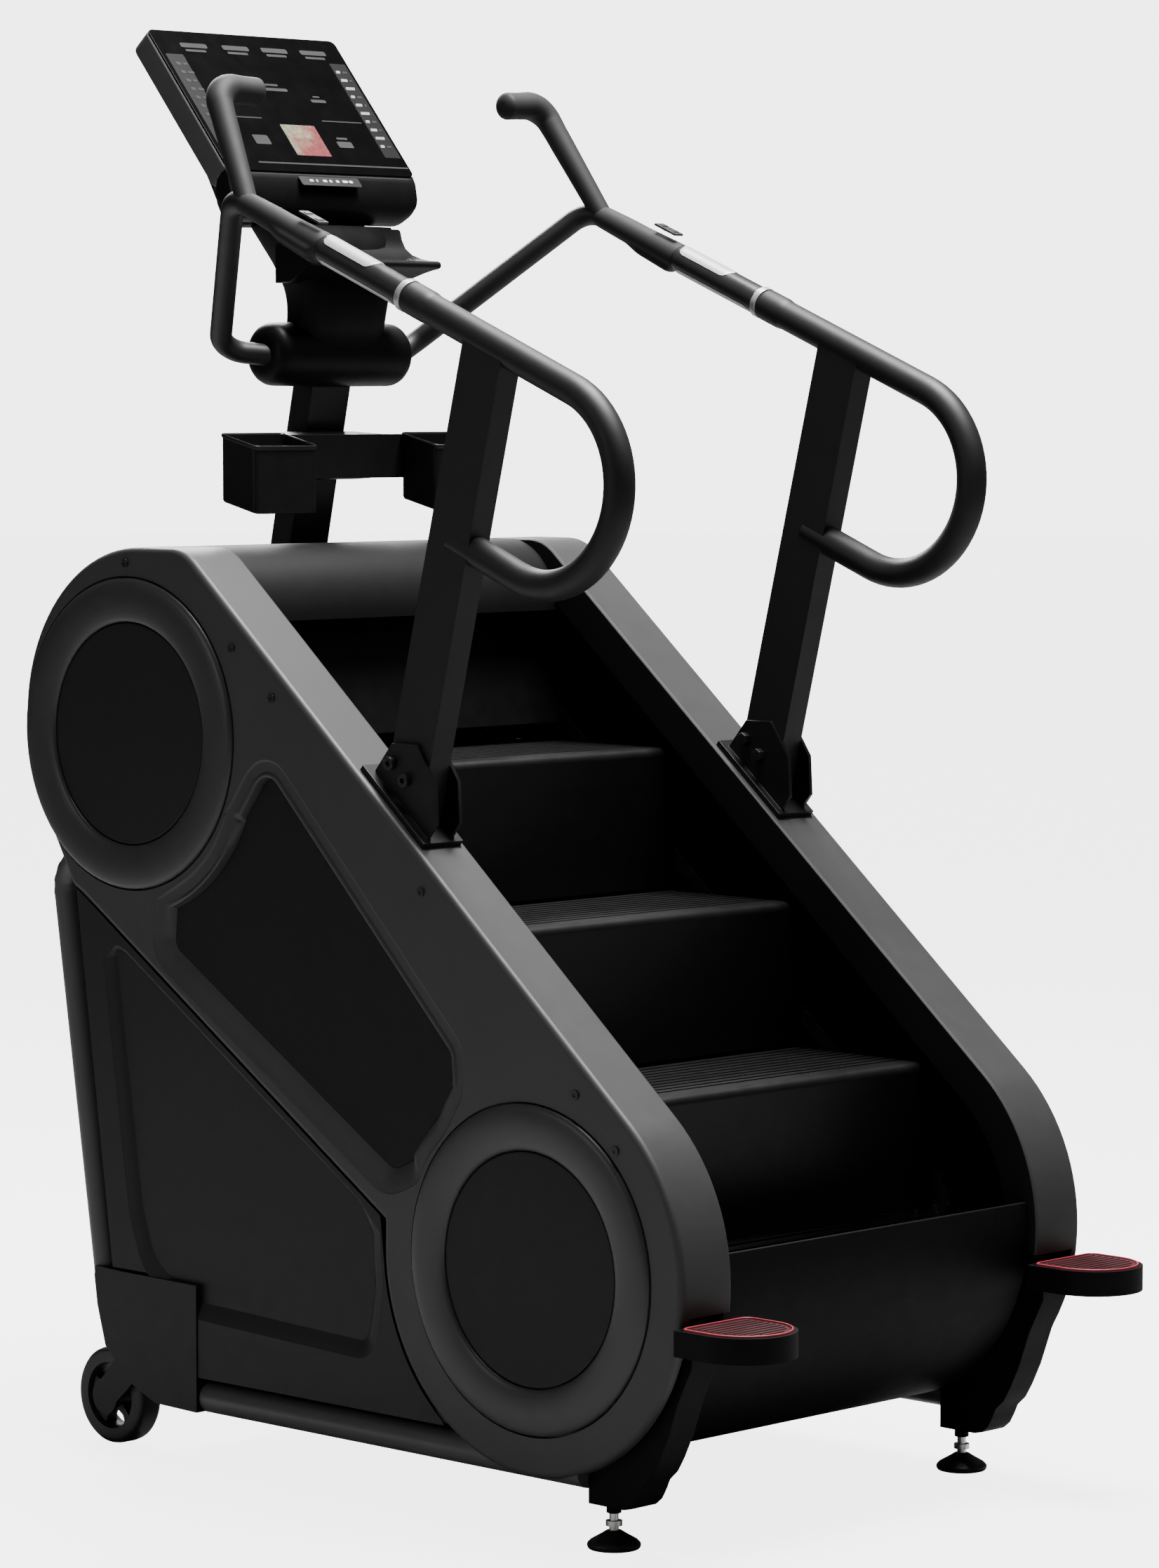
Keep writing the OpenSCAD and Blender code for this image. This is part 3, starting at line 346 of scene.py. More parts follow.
def join(*parts):
    verts, faces = [], []
    for v, f in parts:
        o = len(verts)
        verts += list(v)
        faces += [tuple(i + o for i in q) for q in f]
    return verts, faces


def prism_rows(rows):
    """Loft of closed loops of equal length, capped at both ends."""
    verts, faces = [], []
    n = len(rows[0])
    for r in rows:
        verts += r
    for i in range(len(rows) - 1):
        for k in range(n):
            a, b = i * n + k, i * n + (k + 1) % n
            faces.append((a, b, b + n, a + n))
    faces.append(tuple(range(n - 1, -1, -1)))
    faces.append(tuple(range((len(rows) - 1) * n, len(rows) * n)))
    return verts, faces


def ring_rows(rows):
    """Loft of closed loops that runs back into its first loop."""
    m, n = len(rows), len(rows[0])
    faces = []
    for i in range(m):
        j = (i + 1) % m
        for k in range(n):
            l = (k + 1) % n
            faces.append((i * n + k, i * n + l, j * n + l, j * n + k))
    return [p for r in rows for p in r], faces


def turned(profile, centre, n, hand):
    """Circles round an X axis through centre (y, z) for each (x, r) of the profile."""
    turn = [2 * math.pi * k / n for k in range(n)]
    return [[(hand * x, centre[0] + r * math.cos(a), centre[1] + r * math.sin(a)) for a in turn]
            for x, r in profile]


def lathe_z(profile, x, y, n):
    """Turns [(r, z), ...] round a vertical axis through x, y."""
    turn = [2 * math.pi * k / n for k in range(n)]
    return prism_rows([[(x + r * math.cos(a), y + r * math.sin(a), z) for a in turn] for r, z in profile])


def arc(c, r, a0, a1, n):
    return [(c[0] + r * cosd(a0 + (a1 - a0) * k / n),
             c[1] + r * sind(a0 + (a1 - a0) * k / n)) for k in range(n + 1)]


SLOPE = math.radians(40.2)    # rise of the steps
SLOPE_COS, SLOPE_SIN = math.cos(SLOPE), math.sin(SLOPE)
LOW = (-306.0, 361.0)     # lower shaft (y, z)
SHAFT_GAP = 1038.2
HIGH = (LOW[0] + SHAFT_GAP * SLOPE_COS, LOW[1] + SHAFT_GAP * SLOPE_SIN)


def band(s, p):
    """Point (y, z) at s along the line between the shafts and p above it."""
    return (LOW[0] + s * SLOPE_COS - p * SLOPE_SIN, LOW[1] + s * SLOPE_SIN + p * SLOPE_COS)


def inside(p, loop):
    """True when p lies inside the loop."""
    hit = False
    for i in range(len(loop)):
        a, b = loop[i - 1], loop[i]
        if (a[1] > p[1]) != (b[1] > p[1]) and p[0] < (b[0] - a[0]) * (p[1] - a[1]) / (b[1] - a[1]) + a[0]:
            hit = not hit
    return hit


def slab(loops, xf, xb, hand):
    """Closed plate in x from an outer loop and hole loops given as (y, z)."""
    co, edges = [], []
    for loop in loops:
        s = len(co)
        co += [Vector((p[0], p[1])) for p in loop]
        edges += [(s + i, s + (i + 1) % len(loop)) for i in range(len(loop))]
    v, _, f, ov = delaunay_2d_cdt(co, edges, [], 0, 1e-4)[:4]
    m = len(v)
    back = {i: j for j, olds in enumerate(ov) for i in olds}
    verts = [(hand * xf, p[0], p[1]) for p in v] + [(hand * xb, p[0], p[1]) for p in v]
    faces = []
    found, s = [], 0
    for loop in loops:
        found.append([v[back[s + i]] for i in range(len(loop))])
        s += len(loop)
    for q in f:
        c = (sum(v[i][0] for i in q) / len(q), sum(v[i][1] for i in q) / len(q))
        if inside(c, found[0]) and not any(inside(c, hole) for hole in found[1:]):
            faces += [tuple(q), tuple(i + m for i in reversed(q))]
    once = {(q[i - 1], q[i]) for q in faces[::2] for i in range(len(q))}
    faces += [(a, b, b + m, a + m) for a, b in sorted(once) if (b, a) not in once]
    return verts, faces


def rim(loop, profiles, depth, hand):
    """Closed ring that follows loop, and the loop of its outer edge.
    profiles(normal) gives [(offset from loop, x), ...] from the outer edge to the loop."""
    s = turn_sign(loop)
    rows = []
    for (y, z), (ny, nz) in zip(loop, normals_of(loop)):
        front = profiles((ny * s, nz * s))
        around = front + [(o, x - depth) for o, x in reversed(front)]
        rows.append([(hand * x, y + o * ny * s, z + o * nz * s) for o, x in around])
    verts, faces = ring_rows(rows)
    return verts, faces, [r[0][1:] for r in rows]


def strip(points, normals, profile, hand):
    """Bar along points (y, z); profile is a closed [(x, inset), ...] polygon."""
    return prism_rows([[(hand * x, p[0] - o * q[0], p[1] - o * q[1]) for x, o in profile]
                       for p, q in zip(points, normals)])


def round_rect(x0, x1, y0, y1, r, steps):
    """Anticlockwise rectangle with rounded corners, steps chords to a corner."""
    corners = ((x1 - r, y1 - r), (x0 + r, y1 - r), (x0 + r, y0 + r), (x1 - r, y0 + r))
    return [p for k, c in enumerate(corners) for p in arc(c, r, 90 * k, 90 * k + 90, steps)]


def round_corners(poly, radii):
    """Closed outline (y, z) with each corner rounded as far as its edges allow; long edges are split."""
    n = len(poly)
    out = []
    for i, r in enumerate(radii):
        a, b, c = (Vector(poly[(i + k) % n]) for k in (-1, 0, 1))
        u, v = (b - a).normalized(), (c - b).normalized()
        turn = math.acos(max(-1, min(1, u.dot(v))))
        if r <= 0 or turn < 0.02:
            out.append((b[0], b[1]))
            continue
        cut = min(r * math.tan(turn / 2), (b - a).length * 0.49, (c - b).length * 0.49)
        rr = cut / math.tan(turn / 2)
        w = (v - u * v.dot(u)).normalized()
        m = b - u * cut + w * rr
        k = max(3, int(rr * turn / 4.0))
        for q in range(k + 1):
            t = turn * q / k
            p = m - w * (rr * math.cos(t)) + u * (rr * math.sin(t))
            out.append((p[0], p[1]))
    dense = []
    for i, p in enumerate(out):
        q = out[(i + 1) % len(out)]
        d = math.dist(p, q)
        if d < 0.05:
            continue
        k = max(1, int(d / 22.0))
        for j in range(k):
            dense.append((p[0] + (q[0] - p[0]) * j / k, p[1] + (q[1] - p[1]) * j / k))
    return dense


def normals_of(loop):
    """Outward normals of an anticlockwise loop, inward ones of a clockwise loop."""
    out = []
    for i in range(len(loop)):
        a, b = loop[i - 1], loop[(i + 1) % len(loop)]
        d = Vector((b[0] - a[0], b[1] - a[1])).normalized()
        out.append((d[1], -d[0]))
    return out


def inset(loop, normals, depth):
    return [(p[0] - depth * q[0], p[1] - depth * q[1]) for p, q in zip(loop, normals)]


def turn_sign(loop):
    """1 for an anticlockwise loop, -1 for a clockwise one."""
    area2 = sum(loop[i - 1][0] * loop[i][1] - loop[i][0] * loop[i - 1][1] for i in range(len(loop)))
    return 1 if area2 > 0 else -1


# ---------- side covers ----------
COVER_OUT = 404.0     # outer face of a side cover
COVER_IN = 309.0      # inner face, beside the steps
COVER_R = 276.0       # rounded ends of the cover round the lower shaft
REAR_R = 247.0        # rear end round the upper shaft
CREST_R = 80.0
DISC_HOLE = 222.0
SHEET_OUT = 402.0     # outer face of a lower side panel
BAND_LENGTH = 1089.6
CREST = band(BAND_LENGTH, COVER_R - CREST_R)
REAR = (466.0, 1047.0)
CREASE_A = (612.0, 812.0)


def cover_loop():
    """Outer edge of the side cover, anticlockwise seen from +X, starting at the front above the leg."""
    pts = arc(LOW, COVER_R, 188.1, 367.4, 46)
    pts += [(CREASE_A[0] - 20, CREASE_A[1] - 13)]
    pts += arc((CREASE_A[0] - 14.5, CREASE_A[1] + 11), 19, -57, -30, 4)
    pts += arc(REAR, REAR_R, -31.3, 90, 34)
    pts += arc(CREST, CREST_R, 90, 130.2, 10)
    for k in range(1, 24):
        pts.append(band(BAND_LENGTH * (1 - k / 24), COVER_R))
    pts += arc(LOW, COVER_R, 130.2, 187.0, 16)
    return pts


RECESS = round_corners(
    [(-158, 634), (202, 994), (254, 923)]
    + arc(HIGH, 258, 207, 250, 10)
    + [(404, 735), (-38, 464), (-80, 482)]
    + arc(LOW, 258, 33, 47, 4)
    + [(-161, 597)],
    [16, 24, 40] + [0] * 11 + [22, 24, 30] + [0] * 5 + [14])


def recess_profile(nm):
    w = max(0.0, min(1.0, (nm[0] * 0.54 - nm[1] * 0.84 + 0.15) / 0.5))
    top = [(27, 404), (25.4, 402.6), (23, 401.8), (10, 401.4), (8, 403.0), (5.5, 403.6), (3, 402.6),
           (1.3, 398), (0, 391)]
    low = [(34, 404), (32.6, 403.0), (30, 402.6), (25, 401.6), (19, 399.8), (13, 397.4), (7, 394.4),
           (3, 392.4), (0, 391)]
    return [(a[0] * (1 - w) + b[0] * w, a[1] * (1 - w) + b[1] * w) for a, b in zip(top, low)]


def side_cover(hand, name, node):
    loop = cover_loop()
    nm = normals_of(loop)
    R = 9.0
    face_loop = inset(loop, nm, R)
    ring_v, ring_f, edge = rim(RECESS, recess_profile, 4.0, hand)
    discs = [arc(c, DISC_HOLE, 0, 360 - 4, 89) for c in (LOW, HIGH)]
    face = slab([face_loop, edge] + discs, COVER_OUT, COVER_OUT - 4, hand)
    curve = [(COVER_OUT - R + R * sind(a), R - R * cosd(a)) for a in (90, 75, 60, 45, 30, 15, 0)]
    inner = [(COVER_IN + 5 - 5 * sind(a), 5 - 5 * cosd(a)) for a in (0, 30, 60, 90)]
    wall = COVER_IN + 3.5
    full = curve + inner + [(COVER_IN, 55), (wall, 55), (wall, 8), (wall + 3.5, 4), (394, 4), (400, R)]
    lip = curve + [(388, 0), (388, 3.5), (394, 4), (400, R)]
    split = next(i for i, p in enumerate(loop) if p[1] > 900 and p[0] > 640)
    closing = strip(loop[split:], nm[split:], full, hand)
    low_part = strip(loop[-1:] + loop[:split + 1], nm[-1:] + nm[:split + 1], lip, hand)
    back = slab([inset(loop, nm, 10), edge], 395.6, 393.6, hand)
    v, f = join(face, (ring_v, ring_f), closing, low_part, back)
    o = piece(name, v, f, "cover", hides=(node,), sharp=28)
    # the inner wall beside the steps takes a darker copy of the cover grey: painted shade, not a different
    # plastic
    o.data.materials.append(MAT["inner"])
    for q in o.data.polygons:
        if abs(q.center.x) < 0.3135 and abs(q.normal.x) > 0.9:
            q.material_index = 1
    return o


# (x, radius) sections of a trim ring and of the flat cap inside it
RING_PROFILE = [(396, 219.5), (404, 219.5), (406.2, 218.8), (408.6, 216.5), (410.2, 212), (411.4, 204),
                (411.8, 194), (411.4, 183), (410.2, 172), (408.4, 164), (406.6, 160), (404.6, 158.2),
                (402.6, 157.6), (396, 157.6)]
CAP_PROFILE = [(398, 0.02), (398, 156.2), (402.2, 156.2), (403.4, 155.4), (404, 153.5), (404.3, 120),
               (404.6, 60), (404.7, 0.02)]

for hand, side in SIDES:
    side_cover(hand, "cover_shell_" + side, "side_cover_" + side)
    v, f = slab([inset(RECESS, normals_of(RECESS), 0.6 * turn_sign(RECESS))], 391.6, 388, hand)
    piece("inset_sheet_" + side, v, f, "panel", hides=("inset_panels",))
    for c, level in ((LOW, "low"), (HIGH, "up")):
        v, f = ring_rows(turned(RING_PROFILE, c, 72, hand))
        piece("trim_ring_%s_%s" % (level, side), v, f, "ring",
              hides=("disc_rings",), sharp=35)
        v, f = prism_rows(turned(CAP_PROFILE, c, 96, hand))
        piece("ring_cap_%s_%s" % (level, side), v, f, "cap",
              hides=("disc_caps",), sharp=35)


# ---------- lower side panels ----------
BASE_EDGE = round_corners(
    [(604, 805.4), (-22, 402.1)] + arc(LOW, COVER_R + 1.5, -4, -54, 12)
    + [(-143, 132), (349, 132), (349, 268), (530, 268)],
    [0, 0] + [0] * 13 + [0, 0, 6, 0])
BASE_POCKET = round_corners(
    [(527, 726), (473, 362), (449, 292), (402, 256), (348, 238), (10, 225)]
    + arc(LOW, COVER_R + 30, -10, 2, 3) + [(20, 412), (500, 716)],
    [18, 60, 60, 60, 0, 18] + [0] * 4 + [18, 22])


def base_profile(nm):
    w = max(0.0, min(1.0, -nm[1] * 1.6 - 0.1))
    a = [(22, 402), (20.5, 401.2), (16, 400.6), (9, 399), (4, 396.5), (1.2, 394.4), (0, 394)]
    b = [(24, 402), (22.5, 401.4), (18, 400.4), (11, 398), (5, 395.6), (1.5, 394.3), (0, 394)]
    e = [(p[0] * (1 - w) + q[0] * w, p[1] * (1 - w) + q[1] * w) for p, q in zip(a, b)]
    k = 0.35 if nm[1] > 0.35 else 1.0
    return [(o * k, x) for o, x in e]


BACKING = (387.5, 384.0)    # outer and inner face of the plates behind the gaps
for hand, side in SIDES:
    rv, rf, edge = rim(BASE_POCKET, base_profile, 3.0, hand)
    out = slab([BASE_EDGE, edge], SHEET_OUT, SHEET_OUT - 3, hand)
    # backing behind the seam under the cover and behind the rear corner
    seam = slab([[(622, 818), (616, 795), (-20, 385), (-24, 412), (596, 815)]], *BACKING, hand)
    corner = slab([[(552, 300), (340, 300), (340, 240), (546, 240)]], *BACKING, hand)
    v, f = join(out, (rv, rf), seam, corner)
    piece("base_frame_skin_" + side, v, f, "base",
          hides=("base_panel_" + side,), sharp=30)
    v, f = slab([BASE_POCKET], 394.2, 391.5, hand)
    piece("base_sheet_" + side, v, f, "base")
    # the jamb fills the gap between the side panel and the rear cover
    jamb = [(614, 806), (580, 561), (544, 150), (541, 150), (577, 561), (611, 808)]
    v, f = slab([jamb], 384, 309.2, hand)
    piece("rear_jamb_" + side, v, f, "base")

# ---------- handrails ----------
RAIL_X = 353.0            # x of the handrail loops and grips
RAIL_R = 21.0
LOOP_R = 133.0
ARM_R = 16.0
RAIL_DEG = 22.2
RAIL_COS, RAIL_SIN = cosd(RAIL_DEG), sind(RAIL_DEG)


def rail_at(t, off=0.0):
    return (RAIL_X, -31 + t * RAIL_COS - off * RAIL_SIN, 1639 + t * RAIL_SIN + off * RAIL_COS)


LOOP = rail_at(-332.8, -LOOP_R)[1:]
RAIL_CORNER = (RAIL_X, 317, 1781)
HUB_CORNER = (183, 537, 1572)


def rail_radius(s, total):
    d = total - s
    if d < 46:
        return RAIL_R + 1.6 * min(1.0, (46 - d) / 8.0) - (1.4 * max(0.0, (5 - d) / 5.0) ** 2)
    return RAIL_R


def rail_tube():
    foot = 127.0          # length of the lower leg from the loop to the upright
    y, z = LOOP[0] + LOOP_R * RAIL_SIN, LOOP[1] - LOOP_R * RAIL_COS
    pts = [(RAIL_X, y + foot * RAIL_COS, z + foot * RAIL_SIN)]
    pts += [(RAIL_X, LOOP[0] - LOOP_R * sind(RAIL_DEG + a), LOOP[1] + LOOP_R * cosd(RAIL_DEG + a))
            for a in range(180, -1, -5)]
    a = Vector(pts[-1])
    b = Vector(rail_at(-5.2))
    n = 16
    pts += [tuple(a + (b - a) * (k / n)) for k in range(1, n - 2)]
    pts += [rail_at(t) for t in (-52, -50, -46, -42, -36, -24, -12, -8, -6.4, -5.2)]
    return sweep(pts, rail_radius, 36)


def core_tube():
    pts = fillet([rail_at(-5), RAIL_CORNER, HUB_CORNER, (118, 493, 1563)], [46, 42], 4.0)
    return sweep(pts, ARM_R, 28)


def ease(k):
    """Smooth step from 0 to 1, held outside that range."""
    k = max(0.0, min(1.0, k))
    return k * k * (3 - 2 * k)


def grip_tube():
    pts = [rail_at(t) for t in (5.4, 6.5, 9, 30, 60, 90, 120, 150, 168, 173, 175)]
    return sweep(pts, lambda s, total: 20.2 - (0.8 if s < 0.5 or total - s < 0.5 else 0), 40)


def contact(t0, t1, middle, half, r0, r1):
    """Curved plate on the rail from t0 to t1, with round ends; middle and half are angles round the rail."""
    nt, na = 24, 14
    verts, faces = [], []
    for r in (r0, r1):
        for i in range(nt + 1):
            t = t0 + (t1 - t0) * (i / nt)
            e = min(t - t0, t1 - t) / 14.0
            w = half * (math.sqrt(max(0.0, 1 - (1 - min(1.0, e)) ** 2)) * 0.98 + 0.02)
            for k in range(na + 1):
                a = middle + w * (2 * k / na - 1)
                x, y, z = rail_at(t, math.cos(a) * r)
                verts.append((x + math.sin(a) * r, y, z))
    m = (nt + 1) * (na + 1)

    def at(layer, i, k):
        return layer * m + i * (na + 1) + k

    for i in range(nt):
        for k in range(na):
            faces.append((at(1, i, k), at(1, i + 1, k), at(1, i + 1, k + 1), at(1, i, k + 1)))
            faces.append((at(0, i, k), at(0, i, k + 1), at(0, i + 1, k + 1), at(0, i + 1, k)))
        faces.append((at(0, i, 0), at(0, i + 1, 0), at(1, i + 1, 0), at(1, i, 0)))
        faces.append((at(0, i, na), at(1, i, na), at(1, i + 1, na), at(0, i + 1, na)))
    for k in range(na):
        faces.append((at(0, 0, k), at(1, 0, k), at(1, 0, k + 1), at(0, 0, k + 1)))
        faces.append((at(0, nt, k), at(0, nt, k + 1), at(1, nt, k + 1), at(1, nt, k)))
    return verts, faces


def grip_plates():
    return join(contact(66, 173, 0.0, 1.0, 19.4, 21.0), contact(8, 173, math.pi, 0.95, 19.4, 20.9))


def pod(a, s):
    """Low raised pod for the thumb switch on the upper side of the sleeve."""
    up = ease((math.cos(a + 0.35) - 0.3) / 0.45)
    rise = ease(max(0.0, min(1.0, (s - 3) / 10.0)) * max(0.0, min(1.0, (112 - s) / 42.0)))
    flat = 1.0 / math.cos(a) if math.cos(a) > 0.72 else 1.0
    return 1.0 + up * rise * (0.30 * flat)


def sleeve_r(s, total):
    k = s / total
    narrow = 2.4 * min(1.0, k * 2.2) + 1.8 * max(0.0, (k - 0.62) / 0.38) ** 1.3
    return 20.6 - narrow - 1.4 * max(0.0, 1 - s / 3.0) ** 2


def sleeve():
    stops = [175.4, 176.5, 178, 180, 183, 186, 190] + list(range(195, 300, 5)) + list(range(300, 352, 6))
    return sweep([rail_at(t) for t in stops], sleeve_r, 56, section=pod, up=(-1, 0, 0))


def stub_r(s, total):
    k = s / total
    r = 15.0 + 2.4 * min(1.0, k / 0.5)
    r += 3.4 * math.exp(-((s - 200) / 30.0) ** 2)
    r += 2.6 * max(0.0, (k - 0.8) / 0.2)
    return r


def stub_handle():
    """Short handle that stands up from the rail and bends inward to a rounded end."""
    pts = fillet([(RAIL_X, 288, 1769), (322, 388, 1935), (250, 385, 1931)], [34], 3.0)
    return sweep(pts, stub_r, 36, up=(0, 1, 0), round_ends=True)


RAIL_PIECES = (
    ("rail_loop", rail_tube, "rail", "rail_paint", "handrail_"),
    ("rail_arm", core_tube, "rail", "rail_paint", "handrail_"),
    ("grip_body", grip_tube, "gripdark", "grip_metal", "pulse_grips"),
    ("grip_contacts", grip_plates, "grip", "grip_metal", None),
    ("rail_grip_sleeve", sleeve, "rubber", "rubber_black", "rail_sleeve_"),
    ("stub_grip", stub_handle, "rubber", "rubber_black", "stub_handle_"),
)
for hand, side in SIDES:
    for name, make, mat, slot, node in RAIL_PIECES:
        v, f = make()
        if hand < 0:
            v = flip(v)
        if node and node.endswith("_"):
            node += side
        piece(name + "_" + side, v, f, mat, hides=(node,) if node else ())

# ---------- console screen ----------
CONSOLE_DEG = 40.2
GLASS_Y = -3.0        # front of the glass in console depth


def face_point(x, y, w):
    """Console coordinates: x across, y into the console, w up along its face."""
    c, s = cosd(CONSOLE_DEG), sind(CONSOLE_DEG)
    return (x, 517 + y * c + w * s, 1829 - y * s + w * c)


def tile(x0, x1, w0, w1, y0=GLASS_Y, y1=GLASS_Y - 0.7, r=1.2, lean=0.0):
    """Thin tile on the display from depth y0 to y1; lean slants its sides."""
    r = min(r, (x1 - x0) / 2.05, (w1 - w0) / 2.05)
    pts = [(x + lean * (w - w0), w) for x, w in round_rect(x0, x1, w0, w1, r, 3)]
    return prism_rows([[face_point(x, y, w) for x, w in pts] for y in (y0, y1)])


# blocks in place of icons and text: four headings, a column at each side, small fields
marks, dim = [], []
for cx in (-112, -30, 47, 125):
    dim.append(tile(cx - 26, cx + 26, 236.5, 245.5, r=3))
    dim.append(tile(cx - 21, cx + 19, 228.5, 233.0, r=1.5))
PITCH = 16.5
for k in range(10):
    w = 202 - k * PITCH
    marks.append(tile(150, 158 + (k % 3) * 5, w, w + 5.5, r=1.2, lean=0.35))
    dim.append(tile(163 + (k % 3) * 5, 172, w + 0.6, w + 4.6, r=1.0, lean=0.35))
for k in range(9):
    w = 200 - k * PITCH
    dim.append(tile(-167, -158, w, w + 6, r=2.5))
    dim.append(tile(-154, -146 + (k % 2) * 4, w + 0.8, w + 4.8, r=1.0))
FIELDS = ((-18, 26, 158, 164), (-14, 12, 168, 172), (62, 92, 139, 145), (70, 84, 149, 152),
          (-100, -70, 50, 68), (64, 94, 50, 62), (68, 90, 66, 70))
for x0, x1, w0, w1 in FIELDS:
    dim.append(tile(x0, x1, w0, w1, r=2.5))
v, f = join(*dim)
piece("screen_marks_dim", v, f, "markdim")
v, f = join(*marks)
piece("screen_marks_bright", v, f, "marklit")
v, f = tile(-31, 37, 31, 91, r=1.0)
piece("screen_window", v, f, "video")
v, f = join(tile(147, 179, 34, 222, -2.9, -3.3, r=2), tile(-177, -143, 46, 222, -2.9, -3.3, r=2))
piece("screen_strips", v, f, "strip")
v, f = join(tile(-118, 181, 12.5, 15.5, r=1.2), tile(-150, -60, 101, 103.2, r=0.8),
            tile(60, 140, 101, 103.2, r=0.8))
piece("screen_bars", v, f, "barline")

# ---------- wheels ----------
WHEEL_AXLE = (585.0, 70.0)        # wheel axle (y, z)
TYRE = [(322, 48), (322, 62), (323.4, 66.4), (326.5, 69), (332, 70), (352, 70), (357.5, 69),
        (360.6, 66.4), (362, 62), (362, 48), (358, 46.5), (346, 45.5), (338, 45.5), (326, 46.5)]
WHEEL_HUB = [(324, 8.3), (324, 17), (326, 19), (358, 19), (360, 17), (360, 8.3)]
# (radius, half width, inner x, outer x) along a spoke
SPOKE = ((17.5, 7.5, 330, 354), (24, 6, 332, 352), (32, 5.2, 334, 350), (40, 6.2, 333, 351),
         (46.5, 9, 331, 353))
for hand, side in SIDES:
    parts = [ring_rows(turned(q, WHEEL_AXLE, 72, hand)) for q in (TYRE, WHEEL_HUB)]
    for k in range(5):
        a = math.radians(90 + 72 * k)
        d = (math.cos(a), math.sin(a))
        e = (-d[1], d[0])
        rows = []
        for r, half, x0, x1 in SPOKE:
            rows.append([(hand * x, WHEEL_AXLE[0] + d[0] * r + e[0] * w, WHEEL_AXLE[1] + d[1] * r + e[1] * w)
                         for x, w in ((x0, -half), (x0, half), (x1, half), (x1, -half))])
        parts.append(prism_rows(rows))
    v, f = join(*parts)
    piece("spoked_wheel_" + side, v, f, "tyre", body=side + "_wheel",
          hides=("wheel_" + side,), sharp=35)

# ---------- rounded edges on the CAD pieces that stay visible ----------
def soften(o, width, segments):
    """Rounds the sharp edges of a piece with modifiers; width is in millimetres."""
    me = o.data
    for a in [a for a in me.attributes if a.name == "custom_normal"]:
        me.attributes.remove(a)
    me.polygons.foreach_set("use_smooth", [True] * len(me.polygons))
    w = o.modifiers.new("weld", "WELD")
    w.merge_threshold = 0.00002
    d = o.modifiers.new("flat", "DECIMATE")
    d.decimate_type = "DISSOLVE"
    d.angle_limit = math.radians(0.6)
    b = o.modifiers.new("edges", "BEVEL")
    b.width = width * 0.001
    b.segments = segments
    b.limit_method = "ANGLE"
    b.angle_limit = math.radians(32)
    b.use_clamp_overlap = True
    n = o.modifiers.new("normals", "WEIGHTED_NORMAL")
    n.weight = 100
    n.keep_sharp = True


# (width, segments, nodes)
EDGES = (
    (0.4, 1, "thumb_switch_left thumb_switch_right chains chain_guides drive_belt belly_pan"),
    (0.5, 1, "rear_tubes upper_shaft lower_shaft"),
    (0.6, 1, "drive_pulley"),
    (0.8, 1, "side_plates steps_climbing steps_return step_top step_bottom brake_rotor"),
    (0.8, 2, "console_glass cover_screws"),
    (1.0, 1, "rear_cover bearings"),
    (1.0, 2, "foot_left foot_right upright_bolts"),
    (1.2, 2, "base_frame grip_collars power_inlet"),
    (1.4, 2, "upright_brackets"),
    (1.5, 2, "front_guard brake_stator"),
    (2.5, 2, "console_tray bin_bracket"),
    (3.0, 3, "bridge_cover rear_corners"),
    (3.5, 3, "mast"),
    (4.0, 3, "upright_left upright_right pedal_left pedal_right front_legs"),
    (9.0, 4, "neck_hub"),
)
for width, segments, names in EDGES:
    for name in names.split():
        soften(CAD[name], width, segments)


# ---------- bins: thin walled boxes with rounded corners and a rolled rim ----------
BIN_Y = (400.0, 475.0)
# (front z, back z, growth of the outline, corner radius) from the bottom up the outside and down inside
BIN_ROWS = ((1339.5, 1357.5, -3.5, 6), (1338.2, 1356.2, -1.5, 7), (1341, 1359, 0, 8), (1428, 1446, 0, 8),
            (1431, 1449, 1.6, 9), (1433.6, 1451.6, 1.6, 9), (1435, 1453, 0.4, 8), (1434.6, 1452.6, -1.6, 6.5),
            (1432, 1450, -3.0, 5.5), (1346, 1364, -3.2, 5), (1343, 1361, -6, 3))


def bin_shell(x0, x1):
    """The bin leans: its rim and floor rise towards the back."""
    y0, y1 = BIN_Y
    rows = []
    for front, back, grow, r in BIN_ROWS:
        loop = round_rect(x0 - grow, x1 + grow, y0 - grow, y1 + grow, r, 4)
        rows.append([(x, y, front + (back - front) * (y - y0) / (y1 - y0)) for x, y in loop])
    return prism_rows(rows)


for x0, x1, side in ((-238, -118, "left"), (118, 238, "right")):
    v, f = bin_shell(x0, x1)
    piece("cup_bin_" + side, v, f, "gloss", hides=("bin_" + side,), sharp=50)


# ---------- pedals: dark ribbed pad inside a red line ----------
PEDAL = (354.0, -644.0)    # centre of the round end (x, y)


def pedal_loop(r):
    """Outline r out from the pedal's middle, round at its free end and square beside the machine."""
    x, y, c = PEDAL[0], PEDAL[1], 12.0
    back = y - 10 + r
    return (arc(PEDAL, r, 180, 360, 36) + arc((x + r - c, back - c), c, 0, 90, 6)
            + arc((x - r + c, back - c), c, 90, 180, 6))


def pedal_row(hand, r, z):
    return [(hand * p[0], p[1], z) for p in pedal_loop(r)]


def pedal_line(hand):
    """Ring of rounded section round the pad."""
    section = ((63.6, 316.2), (63.6, 319.8), (63.0, 320.7), (62.0, 321.0), (61.2, 320.7), (60.8, 319.8),
               (60.8, 316.2))
    return ring_rows([pedal_row(hand, *q) for q in section])


